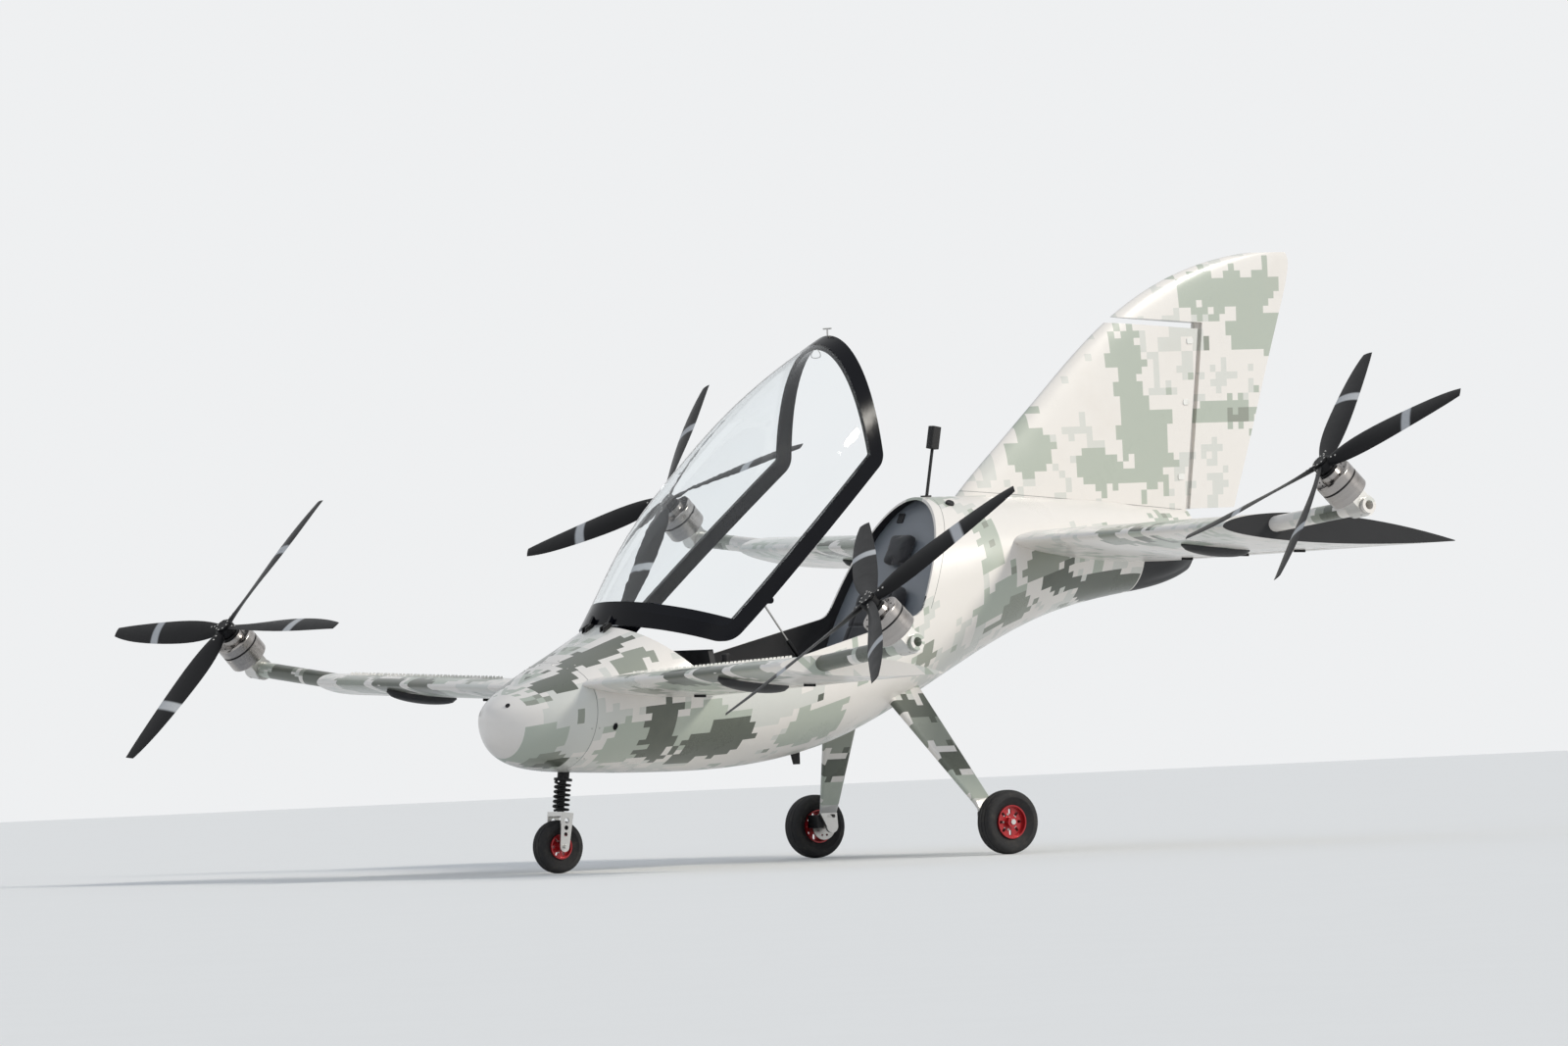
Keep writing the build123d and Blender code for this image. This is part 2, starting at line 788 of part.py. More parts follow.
# Pin of the stay on a pad inside the sill
with BuildPart() as sill_pin:
    with BuildSketch(Plane(origin=foot, x_dir=(0, 1, 0), z_dir=(1, 0, 0)).offset(-stay_tube_radius)):
        Circle(stay_pin_radius)
    extrude(amount=through)
    with BuildSketch(
        Plane(origin=foot, x_dir=(0, 1, 0), z_dir=(1, 0, 0)).offset(stay_tube_radius + running_gap)
    ):
        Circle(pad_radius)
    extrude(amount=through)
    add(body_inner, mode=Mode.INTERSECT)
export(sill_pin, "stay_sill_pin")

# Cockpit: battery blocks on the floor, seat, headrest, instrument panel and stick
with BuildPart() as batteries:
    for first, last, half, top in (battery_nose, battery_seat):
        with BuildSketch(Plane.XY.offset(top)):
            with Locations((0, sta((first + last) / 2))):
                Rectangle(2 * half, last - first)
        extrude(amount=-through)
    add(body_inner, mode=Mode.INTERSECT)
export(batteries, "batteries")


def bulkhead_face(height, ahead):
    """Station of the bulkhead's front face at a height, moved forward by ahead."""
    lean = tan(radians(ring_lean))
    setback = (bulkhead_setback - ahead) / cos(radians(ring_lean))
    return opening_back[0] + (height - opening_back[1]) * lean + setback


back_low = pan_height + 84.0
seat_line = [
    (pan_front, pan_height),
    (battery_seat[1], pan_height),
    (bulkhead_face(back_low, running_gap), back_low),
    (bulkhead_face(seat_top, running_gap), seat_top),
    (bulkhead_face(seat_top, seat_thickness), seat_top + 28.0),
    (bulkhead_face(back_low, seat_thickness + 18.0), back_low + 14.0),
    (pan_front, pan_height + 82.0),
]
with BuildPart() as seat:
    with BuildSketch(side):
        with BuildLine():
            FilletPolyline(*[(sta(y), z) for y, z in seat_line], radius=12.0, close=True)
        make_face()
    extrude(amount=seat_half_width, both=True)
export(seat, "seat")

head_plane = Plane(
    origin=(0, sta(bulkhead_face(headrest_height, running_gap)), headrest_height),
    x_dir=(1, 0, 0),
    z_dir=bulkhead_plane.z_dir * -1,
)
with BuildPart() as headrest:
    with BuildSketch(head_plane):
        RectangleRounded(headrest_size[0], headrest_size[1], 30.0)
    extrude(amount=headrest_size[2])
    fillet(headrest.faces().sort_by(Axis(head_plane.origin, head_plane.z_dir))[-1].edges(), 14.0)
export(headrest, "headrest")

with BuildPart() as instrument_panel:
    for low, high, inset in (
        (panel_foot, 770.0, body_wall),
        (770.0, panel_top, rail_depth + 10.0),
    ):
        with BuildPart(mode=Mode.PRIVATE) as band:
            with BuildSketch(Plane.XY.offset(low)):
                with Locations((0, sta(panel_station + panel_thickness / 2))):
                    Rectangle(2 * through, panel_thickness)
            extrude(amount=high - low)
            add(body_loft(inset), mode=Mode.INTERSECT)
        add(band.part)
export(instrument_panel, "instrument_panel")

with BuildPart() as control_stick:
    with BuildSketch(Plane.XY.offset(300.0)):
        with Locations((0, sta(stick_station))):
            Circle(stick_radius)
    extrude(amount=stick_top - 300.0)
    with BuildSketch(Plane.XY.offset(stick_top)):
        with Locations((0, sta(stick_station))):
            Circle(grip_radius)
    extrude(amount=grip_length)
    fillet(control_stick.faces().sort_by(Axis.Z)[-1].edges(), 8.0)
    add(body_inner, mode=Mode.INTERSECT)
export(control_stick, "control_stick")

# Mast on the spine and blade aerial under the keel
mast_top = Vector(0, sta(mast_station + mast_lean), mast_height)
mast_foot = Vector(0, sta(mast_station), mast_height - 260.0)
mast_axis = (mast_top - mast_foot).normalized()
with BuildPart() as sensor_mast:
    with BuildSketch(Plane(origin=mast_foot, z_dir=mast_axis)):
        Circle(mast_radius)
    extrude(amount=(mast_top - mast_foot).length)
    with BuildSketch(Plane.XY.offset(1500.0)):
        with Locations((0, mast_foot.Y + 6)):
            Circle(mast_flange_radius)
    extrude(amount=68.0 + mast_flange)
    add(body_outer, mode=Mode.SUBTRACT)
    with BuildSketch(Plane(origin=mast_top - mast_axis * 2, z_dir=mast_axis)):
        RectangleRounded(mast_head[0], mast_head[1], 10.0)
    extrude(amount=mast_head[2])
export(sensor_mast, "sensor_mast")

with BuildPart() as belly_aerial:
    with BuildSketch(Plane.XY.offset(aerial_depth)):
        with Locations((0, sta(aerial_station))):
            Ellipse(3.0, 0.3 * aerial_chord)
    with BuildSketch(Plane.XY.offset(aerial_depth + 90.0)):
        with Locations((0, sta(aerial_station - 12))):
            Ellipse(5.0, 0.5 * aerial_chord)
    loft()
    add(body_outer, mode=Mode.SUBTRACT)
export(belly_aerial, "belly_aerial")


def wheel_pieces(centre, tyre_radius, tyre_width, rim_radius, bore, holes, hole_size, hub_half):
    """Tyre and drilled rim turned about an axle that runs along X through centre."""
    face = Plane(origin=centre, x_dir=(1, 0, 0), z_dir=(0, -1, 0))
    disc_face = Plane(origin=centre, x_dir=(0, 1, 0), z_dir=(1, 0, 0))
    axle = Axis(centre, (1, 0, 0))
    half, shoulder, lip, web = tyre_width / 2, 0.30 * tyre_width, 5.0, 8.0
    bead = 0.36 * tyre_width
    with BuildPart() as tyre:
        with BuildSketch(face):
            with BuildLine():
                FilletPolyline(
                    (-bead, rim_radius),
                    (-half, rim_radius + 0.3 * (tyre_radius - rim_radius)),
                    (-half, tyre_radius - 0.25 * (tyre_radius - rim_radius)),
                    (-0.5 * half, tyre_radius),
                    (0.5 * half, tyre_radius),
                    (half, tyre_radius - 0.25 * (tyre_radius - rim_radius)),
                    (half, rim_radius + 0.3 * (tyre_radius - rim_radius)),
                    (bead, rim_radius),
                    radius=0.11 * tyre_radius,
                )
                Line((bead, rim_radius), (-bead, rim_radius))
            make_face()
        revolve(axis=axle)
    with BuildPart() as rim:
        with BuildSketch(face):
            with Locations((0, rim_radius - lip / 2)):
                Rectangle(2 * bead + 4, lip)
            with Locations((0.4 * bead, rim_radius / 2)):
                Rectangle(web, rim_radius - 2, align=(Align.CENTER, Align.CENTER))
            with Locations((0, bore + 6)):
                Rectangle(2 * hub_half, 12)
            with Locations((0, bore / 2)):
                Rectangle(3 * hub_half, bore, mode=Mode.SUBTRACT)
            with Locations((0, -rim_radius)):
                Rectangle(6 * hub_half, 2 * rim_radius, mode=Mode.SUBTRACT)
        revolve(axis=axle)
        with BuildSketch(disc_face.offset(-tyre_width)):
            with PolarLocations(0.5 * (rim_radius + bore + 7), holes):
                SlotOverall(hole_size[0], hole_size[1])
        extrude(amount=2 * tyre_width, mode=Mode.SUBTRACT)
    return tyre, rim


# Main gear: sprung leg, knuckle with its axle, brake, and wheel
leg_start = Vector(leg_top[0], sta(leg_top[1]), leg_top[2])
leg_end = Vector(leg_foot[0], sta(leg_foot[1]), leg_foot[2])
leg_line = (leg_end - leg_start).normalized()
foot_plane = Plane(origin=leg_end, x_dir=(0, 1, 0), z_dir=leg_line)
main_centre = Vector(main_half_track, sta(main_station), main_tyre_radius)

with BuildPart() as main_leg:
    with BuildSketch(Plane(origin=leg_start, x_dir=(0, 1, 0), z_dir=leg_line)):
        RectangleRounded(leg_top_chord, leg_top_thickness, 0.45 * leg_top_thickness)
    with BuildSketch(foot_plane):
        RectangleRounded(leg_foot_chord, leg_foot_thickness, 0.45 * leg_foot_thickness)
    loft(ruled=True)

plate_x = leg_end.X + 24.0
plate_top = leg_end.Z - 38.0
with BuildPart() as knuckle:
    with BuildSketch(foot_plane):
        RectangleRounded(leg_foot_chord, leg_foot_thickness, 0.45 * leg_foot_thickness)
    with BuildSketch(
        Plane(origin=(plate_x, leg_end.Y + 6, plate_top), x_dir=(0, 1, 0), z_dir=(0, 0, -1))
    ):
        RectangleRounded(
            leg_foot_chord - 4, knuckle_thickness, 0.45 * knuckle_thickness
        )
    loft(ruled=True)
    with BuildSketch(
        Plane(origin=(plate_x, main_centre.Y, main_centre.Z), x_dir=(0, 1, 0), z_dir=(1, 0, 0))
    ):
        rise = plate_top - main_centre.Z
        middle = leg_end.Y + 6 - main_centre.Y
        wide = leg_foot_chord / 2 - 2
        with BuildLine():
            Polyline(
                (middle - wide, rise), (middle + wide, rise),
                (axle_flange_radius, 0), (-axle_flange_radius, 0), close=True,
            )
        make_face()
        Circle(axle_flange_radius)
        with Locations((middle / 2 + 4, rise - 14)):
            SlotOverall(44.0, 16.0, mode=Mode.SUBTRACT)
    extrude(amount=knuckle_thickness / 2, both=True)
    with BuildSketch(Plane(origin=(plate_x, main_centre.Y, main_centre.Z), z_dir=(1, 0, 0))):
        Circle(axle_radius)
    extrude(amount=main_centre.X + main_tyre_width / 2 - 2 - plate_x)

hub_half = 40.0
disc_x = main_centre.X - 74.0
disc_side = Plane(origin=(disc_x, main_centre.Y, main_centre.Z), x_dir=(0, 1, 0), z_dir=(1, 0, 0))
bearing_radius = axle_radius + pin_fit
main_tyre, main_rim = wheel_pieces(
    main_centre, main_tyre_radius, main_tyre_width, main_rim_radius, bearing_radius, 8,
    (24.0, 13.0), hub_half,
)
with BuildPart() as brake_disc:
    with BuildSketch(disc_side):
        Circle(disc_radius)
    extrude(amount=disc_thickness)
    with BuildSketch(disc_side):
        Circle(axle_radius + 10)
    extrude(amount=main_centre.X - hub_half - disc_x)
    with BuildSketch(disc_side.offset(-1)):
        Circle(bearing_radius)
    extrude(amount=3 * hub_half, mode=Mode.SUBTRACT)
    with BuildSketch(disc_side):
        with PolarLocations(0.68 * disc_radius, 10):
            Circle(5.0)
    extrude(amount=disc_thickness, mode=Mode.SUBTRACT)

caliper_gap = 1.5
with BuildPart() as brake_caliper:
    with BuildSketch(disc_side.offset(plate_x + knuckle_thickness / 2 - disc_x)):
        with Locations((-disc_radius + 6, 22)):
            RectangleRounded(34.0, 58.0, 8.0)
    extrude(amount=disc_x + disc_thickness + 16 - plate_x - knuckle_thickness / 2)
    with BuildSketch(disc_side.offset(-caliper_gap)):
        Circle(disc_radius + caliper_gap)
    extrude(amount=disc_thickness + 2 * caliper_gap, mode=Mode.SUBTRACT)
    with BuildSketch(disc_side.offset(-60)):
        Circle(axle_radius + 16)
    extrude(amount=120, mode=Mode.SUBTRACT)
    with BuildSketch(disc_side.offset(plate_x + knuckle_thickness / 2 - disc_x)):
        Circle(axle_flange_radius - 4)
        with Locations((-disc_radius + 6 + 20, 22)):
            Rectangle(30, 30)
    extrude(amount=6)
    with BuildSketch(disc_side.offset(-60)):
        Circle(axle_radius + pin_fit)
    extrude(amount=60, mode=Mode.SUBTRACT)

export(off_body(main_leg), "main_leg_left")
export(off_body(mirrored(main_leg)), "main_leg_right")
main_pieces = {
    "main_knuckle": knuckle, "main_tyre": main_tyre,
    "main_rim": main_rim, "brake_disc": brake_disc,
}
export(paired(brake_caliper), "brake_calipers")
for name, piece in main_pieces.items():
    export(piece, name + "_left")
    export(mirrored(piece), name + "_right")

# Nose gear: strut with its spring, and a steered fork with the wheel
lean = radians(strut_lean)
strut_plane = Plane(
    origin=(0, sta(strut_station), strut_height), x_dir=(1, 0, 0), z_dir=(0, -sin(lean), -cos(lean))
)
axle_run = (strut_height - nose_tyre_radius) / cos(lean)
nose_centre = strut_plane.from_local_coords(Vector(0, 0, axle_run))
print("nose axle", nose_centre, "steering axis", strut_plane.z_dir)

with BuildPart() as nose_strut:
    with BuildSketch(strut_plane):
        Circle(strut_housing[0])
    extrude(amount=strut_housing[1])
    with BuildSketch(strut_plane.offset(strut_housing[1])):
        Circle(strut_collar[0])
    extrude(amount=strut_collar[1] - strut_housing[1])
    with BuildSketch(strut_plane):
        Circle(piston_radius)
    extrude(amount=piston_end)
    add(body_outer, mode=Mode.SUBTRACT)
export(nose_strut, "nose_strut")

coil_radius = spring_radius - spring_wire
coil_first = strut_collar[1] + spring_wire + 0.1
coil_last = crown_top - spring_wire - running_gap
with BuildPart() as nose_spring:
    with BuildLine() as coil:
        Helix(
            pitch=(coil_last - coil_first) / spring_turns,
            height=coil_last - coil_first,
            radius=coil_radius,
            center=strut_plane.offset(coil_first).origin,
            direction=strut_plane.z_dir,
        )
    with BuildSketch(Plane(origin=coil.line @ 0, z_dir=coil.line % 0)):
        Circle(spring_wire)
    sweep(path=coil.line, is_frenet=True)
export(nose_spring, "nose_spring")

fork_inner = nose_tyre_width / 2 + tyre_gap
with BuildPart() as nose_fork:
    with BuildSketch(strut_plane.offset(crown_top)):
        RectangleRounded(2 * (fork_inner + fork_plate), crown_depth, 6.0)
        Circle(piston_radius + running_gap, mode=Mode.SUBTRACT)
    extrude(amount=crown_bottom - crown_top)
    with BuildSketch(strut_plane.offset(piston_end + running_gap)):
        Circle(piston_radius + 2)
    extrude(amount=crown_bottom - piston_end - running_gap)
    cheek = Plane(
        origin=strut_plane.from_local_coords(Vector(-fork_inner - fork_plate, 0, crown_top)),
        x_dir=strut_plane.y_dir,
        z_dir=(1, 0, 0),
    )
    reach = axle_run - crown_top
    down = -1 if cheek.y_dir.Z > 0 else 1
    with BuildSketch(cheek):
        with BuildLine():
            Polyline(
                (-crown_depth / 2, 0), (crown_depth / 2, 0),
                (fork_foot_radius, down * reach), (-fork_foot_radius, down * reach), close=True,
            )
        make_face()
        with Locations((0, down * reach)):
            Circle(fork_foot_radius)
        for share, radius in ((0.24, 11.0), (0.45, 10.0), (0.64, 9.0)):
            with Locations((0, down * share * reach)):
                Circle(radius, mode=Mode.SUBTRACT)
    extrude(amount=fork_plate)
    mirror(about=Plane.YZ)
    with BuildSketch(Plane(origin=nose_centre, x_dir=(0, 1, 0), z_dir=(1, 0, 0))):
        Circle(nose_axle_radius)
    extrude(amount=fork_inner + fork_plate + axle_stub, both=True)
export(nose_fork, "nose_fork")

nose_tyre, nose_rim = wheel_pieces(
    nose_centre, nose_tyre_radius, nose_tyre_width, nose_rim_radius, nose_axle_radius + pin_fit,
    6, (18.0, 11.0), fork_inner - 1.0,
)
export(nose_tyre, "nose_tyre")
export(nose_rim, "nose_rim")

closed_angle = atan2(eye.Z - hinge_height, eye.Y - sta(hinge_station)) - radians(canopy_open)
closed_reach = hypot(eye.Z - hinge_height, eye.Y - sta(hinge_station))
closed_eye = (
    sta(hinge_station) + closed_reach * cos(closed_angle),
    hinge_height + closed_reach * sin(closed_angle),
)
closed_run = (closed_eye[0] - foot.Y, closed_eye[1] - foot.Z)
turn = degrees(atan2(closed_run[1], closed_run[0]) - atan2(stay_run[1], stay_run[0])) % 360
print("stay turn", turn, "length open", stay_length, "closed", hypot(*closed_run))
print("stay foot", foot, "eye", eye, "direction", stay_direction)
print("rudder axis", rudder_axis.origin, rudder_axis.z_dir)
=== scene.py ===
import json
import bmesh
import bpy
import numpy as np
from math import cos, pi, radians, sin
from mathutils import Matrix, Vector
from mathutils.bvhtree import BVHTree


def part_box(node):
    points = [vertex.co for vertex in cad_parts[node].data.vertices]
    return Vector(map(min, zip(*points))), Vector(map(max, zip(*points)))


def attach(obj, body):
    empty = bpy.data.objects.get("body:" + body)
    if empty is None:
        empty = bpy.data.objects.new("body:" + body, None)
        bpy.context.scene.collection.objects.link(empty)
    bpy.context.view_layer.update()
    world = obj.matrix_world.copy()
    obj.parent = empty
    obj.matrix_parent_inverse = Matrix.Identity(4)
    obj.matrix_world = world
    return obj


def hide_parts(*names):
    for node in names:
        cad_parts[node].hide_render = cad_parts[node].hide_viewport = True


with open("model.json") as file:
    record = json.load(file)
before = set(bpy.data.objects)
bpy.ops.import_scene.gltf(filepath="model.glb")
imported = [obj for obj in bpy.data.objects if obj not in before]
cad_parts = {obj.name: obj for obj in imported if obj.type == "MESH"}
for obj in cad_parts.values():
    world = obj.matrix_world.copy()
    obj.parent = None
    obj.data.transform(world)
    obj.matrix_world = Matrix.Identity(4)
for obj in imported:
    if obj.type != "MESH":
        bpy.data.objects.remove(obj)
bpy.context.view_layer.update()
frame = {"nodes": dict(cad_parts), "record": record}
bodyOfNode = {n: b for b, names in frame["record"]["behaviour"]["bodies"].items() for n in names}
slotOfNode = {sub["node"]: sub["material_slot"] for sub in frame["record"]["subparts"]}
print("frame:", len(frame["nodes"]), "nodes")


class Term:
    # one socket in an expression: every operator adds one Math node
    def __init__(self, sheet, socket):
        self.sheet = sheet
        self.socket = socket

    def math(self, operation, *others):
        # this value and the others through one operation
        return self.sheet.node("ShaderNodeMath", {"operation": operation}, dict(enumerate((self, *others))))

    def __add__(self, other):
        return self.math("ADD", other)

    __radd__ = __add__

    def __sub__(self, other):
        return self.math("SUBTRACT", other)

    def __rsub__(self, other):
        return self.sheet.node("ShaderNodeMath", {"operation": "SUBTRACT"}, {0: other, 1: self})

    def __mul__(self, other):
        return self.math("MULTIPLY", other)

    def __truediv__(self, other):
        return self.math("DIVIDE", other)

    def __gt__(self, other):
        return self.math("GREATER_THAN", other)

    def __lt__(self, other):
        return self.math("LESS_THAN", other)


class Sheet:
    # a material and its surface shader, filled in node by node
    inputs = {"base": "Base Color", "rough": "Roughness", "metal": "Metallic", "coat": "Coat Weight",
              "coatRough": "Coat Roughness", "normal": "Normal", "clear": "Transmission Weight",
              "ior": "IOR", "specular": "Specular IOR Level", "sheen": "Sheen Weight",
              "sheenRough": "Sheen Roughness"}

    def __init__(self, name):
        self.material = bpy.data.materials.new(name)
        self.material.use_nodes = True
        self.tree = self.material.node_tree
        self.tree.nodes.clear()
        self.surface = self.tree.nodes.new("ShaderNodeBsdfPrincipled")
        self.output = self.tree.nodes.new("ShaderNodeOutputMaterial")
        self.tree.links.new(self.surface.outputs[0], self.output.inputs["Surface"])

    def fill(self, socket, value):
        # a term is linked to the socket, any other value is set
        if isinstance(value, Term):
            self.tree.links.new(value.socket, socket)
        else:
            socket.default_value = value

    def node(self, kind, settings=None, sockets=None, output=0):
        # any node, with its settings, its sockets' values and the output that is wanted
        made = self.tree.nodes.new(kind)
        for key, value in (settings or {}).items():
            setattr(made, key, value)
        for key, value in (sockets or {}).items():
            self.fill(made.inputs[key], value)
        return Term(self, made.outputs[output])

    def own(self):
        # the surface coordinates that the piece carries on its points
        return self.node("ShaderNodeAttribute", {"attribute_name": "skin"}, output="Vector")

    def place(self):
        # the point itself, in the shared frame
        return self.node("ShaderNodeTexCoord", output="Object")

    def vector(self, operation, first, second=None, scale=None, output=0):
        # one or two vectors through one operation; output 1 is its number
        sockets = {0: first}
        if second is not None:
            sockets[1] = second
        if scale is not None:
            sockets["Scale"] = scale
        return self.node("ShaderNodeVectorMath", {"operation": operation}, sockets, output)

    def noise(self, where, scale, detail=3.0, rough=0.55, stretch=None, shift=None):
        # soft noise at a point, stretched and then shifted first
        if stretch:
            where = self.vector("MULTIPLY", where, stretch)
        if shift:
            where = self.vector("ADD", where, shift)
        return self.node("ShaderNodeTexNoise", {"noise_dimensions": "3D"},
                         {"Vector": where, "Scale": scale, "Detail": detail, "Roughness": rough})

    def whiteNoise(self, x, y, z):
        # one value from 0 to 1 for each cell of whole numbers
        return self.node("ShaderNodeTexWhiteNoise", {"noise_dimensions": "3D"},
                         {"Vector": self.join(x, y, z)})

    def axis(self, where, which):
        return self.node("ShaderNodeSeparateXYZ", {}, {0: where}, output=which)

    def join(self, x, y, z):
        return self.node("ShaderNodeCombineXYZ", {}, {0: x, 1: y, 2: z})

    def mix(self, factor, first, second):
        # the first colour times one minus the factor, plus the second times the factor
        return self.node("ShaderNodeMix", {"data_type": "RGBA"}, {0: factor, 6: first, 7: second}, output=2)

    def ramp(self, value, low, high):
        # smooth step of a value from low to high
        return self.node("ShaderNodeMapRange", {"interpolation_type": "SMOOTHSTEP"},
                         {"Value": value, "From Min": low, "From Max": high})

    def bump(self, height, strength, distance):
        return self.node("ShaderNodeBump", {},
                         {"Height": height, "Strength": strength, "Distance": distance})

    def over(self, factor, **values):
        # a second surface laid over the first where the factor is 1
        top = self.tree.nodes.new("ShaderNodeBsdfPrincipled")
        for key, value in values.items():
            self.fill(top.inputs[self.inputs[key]], value)
        both = self.tree.nodes.new("ShaderNodeMixShader")
        self.fill(both.inputs[0], factor)
        self.tree.links.new(self.surface.outputs[0], both.inputs[1])
        self.tree.links.new(top.outputs[0], both.inputs[2])
        self.tree.links.new(both.outputs[0], self.output.inputs["Surface"])
        return self.material

    def finish(self, **values):
        # the first surface's values
        for key, value in values.items():
            self.fill(self.surface.inputs[self.inputs[key]], value)
        return self.material


def makePiece(name, points, faces, material, node, smooth=35.0, slot=None, skin=None, uses=None,
              closed=True):
    # a mesh piece from whole arrays that rides with a CAD node's body; a closed one gets its normals turned
    # outwards
    body = bodyOfNode[node]
    mesh = bpy.data.meshes.new(name)
    mesh.from_pydata(np.asarray(points, float).tolist(), [], [list(map(int, f)) for f in faces])
    if closed:
        work = bmesh.new()
        work.from_mesh(mesh)
        bmesh.ops.recalc_face_normals(work, faces=work.faces)
        work.to_mesh(mesh)
        work.free()
    mesh.validate()
    if smooth:
        mesh.shade_smooth()
        mesh.set_sharp_from_angle(angle=radians(smooth))
    for key, values in (skin or {}).items():
        mesh.attributes.new(key, "FLOAT_VECTOR", "POINT").data.foreach_set(
            "vector", np.asarray(values, np.float32).ravel())
    for one in material if isinstance(material, (list, tuple)) else [material]:
        mesh.materials.append(one)
    if uses is not None:
        mesh.polygons.foreach_set("material_index", np.asarray(uses, np.int32))
    piece = bpy.data.objects.new(name, mesh)
    bpy.context.scene.collection.objects.link(piece)
    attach(piece, body)
    return piece


def meshArrays(mesh):
    # points and face corners of a mesh as whole arrays
    points = np.empty(len(mesh.vertices) * 3, np.float32)
    mesh.vertices.foreach_get("co", points)
    corners = np.empty(len(mesh.loops), np.int32)
    mesh.loops.foreach_get("vertex_index", corners)
    return points.reshape(-1, 3), corners


def nodeArrays(node):
    # points of a CAD node, those within a hundredth of a millimetre merged, and its triangles
    points, corners = meshArrays(frame["nodes"][node].data)
    keys = np.round(points * 1e5).astype(np.int64)
    _, first, back = np.unique(keys, axis=0, return_index=True, return_inverse=True)
    faces = back.reshape(-1)[corners].reshape(-1, 3)
    good = (faces[:, 0] != faces[:, 1]) & (faces[:, 1] != faces[:, 2]) & (faces[:, 0] != faces[:, 2])
    return points[first].astype(float), faces[good]


def faceNormals(points, faces):
    # cross product of two sides of each triangle, at unit length
    across = np.cross(points[faces[:, 1]] - points[faces[:, 0]], points[faces[:, 2]] - points[faces[:, 0]])
    return across / np.maximum(np.linalg.norm(across, axis=1, keepdims=True), 1e-12)


def smoothNode(node, material, skin=None, smooth=32.0, uses=None):
    # a CAD node again as one welded smooth mesh, with its own surface coordinates
    points, faces = nodeArrays(node)
    piece = makePiece(node + "Skin", points, faces, material, node, smooth, slotOfNode.get(node),
                      skin(points) if skin else None, uses(points, faces) if uses else None, closed=False)
    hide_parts(node)
    return piece


def surfaceHits(node, starts, heading):
    # where lines from the starts meet a CAD node, and its outward normals there; a miss is left out
    points, faces = nodeArrays(node)
    tree = BVHTree.FromPolygons(points.tolist(), faces.tolist())
    heading = np.broadcast_to(np.asarray(heading, float), np.shape(starts))
    found = [tree.ray_cast(Vector(s), Vector(h)) for s, h in zip(np.asarray(starts, float), heading)]
    found = [one for one in found if one[0] is not None]
    return np.array([one[0] for one in found]), np.array([one[1] for one in found])


def ringFaces(rows, columns, ring=False):
    # quads between neighbours in stacked closed rings of points; the stack closes on itself, or its first
    # and last rings become end faces
    r, c = np.meshgrid(np.arange(rows if ring else rows - 1), np.arange(columns), indexing="ij")
    r2, c2 = (r + 1) % rows, (c + 1) % columns
    corners = (r * columns + c, r * columns + c2, r2 * columns + c2, r2 * columns + c)
    faces = np.stack(corners, -1).reshape(-1, 4).tolist()
    if not ring:
        faces += [list(range(columns)), list(range((rows - 1) * columns, rows * columns))]
    return faces


def crossAxes(direction):
    # two unit vectors at right angles to a direction
    d = np.asarray(direction, float) / np.linalg.norm(direction)
    seed = np.array([0, 0, 1.0]) if abs(d[2]) < 0.9 else np.array([1.0, 0, 0])
    a = np.cross(d, seed)
    a /= np.linalg.norm(a)
    return a, np.cross(d, a), d


def turned(profile, origin=(0, 0, 0), direction=(0, 0, 1), sides=32, ring=False):
    # a profile of (radius, height) pairs carried round an axis; a ring's profile closes on itself
    profile = np.asarray(profile, float)
    a, b, d = crossAxes(direction)
    t = np.linspace(0, 2 * pi, sides, endpoint=False)
    spoke = np.cos(t)[None, :, None] * a + np.sin(t)[None, :, None] * b
    points = np.asarray(origin, float) + profile[:, 0, None, None] * spoke + profile[:, 1, None, None] * d
    return points.reshape(-1, 3), ringFaces(len(profile), sides, ring)


def carried(path, section):
    # a closed (side, height) section carried along an open line of points; each lift is the last one less
    # its part along the new heading, so that the section turns as little as possible
    path, section = np.asarray(path, float), np.asarray(section, float)
    ahead = np.gradient(path, axis=0)
    ahead /= np.linalg.norm(ahead, axis=1, keepdims=True)
    lift = [crossAxes(ahead[0])[0]]
    for tangent in ahead[1:]:
        lift.append(lift[-1] - tangent * (lift[-1] @ tangent))
        lift[-1] /= np.linalg.norm(lift[-1])
    lift = np.array(lift)
    beside = np.cross(ahead, lift)
    points = path[:, None] + section[None, :, :1] * beside[:, None] + section[None, :, 1:] * lift[:, None]
    return points.reshape(-1, 3), ringFaces(len(path), len(section))


def circle(radius, sides):
    # points at even angles: radius times cosine and sine
    t = np.linspace(0, 2 * pi, sides, endpoint=False)
    return np.stack([radius * np.cos(t), radius * np.sin(t)], -1)


def signedPower(values, exponent):
    # the size of each value to the exponent, with its sign kept
    return np.sign(values) * np.abs(values) ** exponent


def together(*parts):
    # several (points, faces) sets as one
    points, faces, count = [], [], 0
    for p, f in parts:
        points.append(np.asarray(p, float))
        faces += [[int(i) + count for i in q] for q in f]
        count += len(p)
    return np.concatenate(points), faces


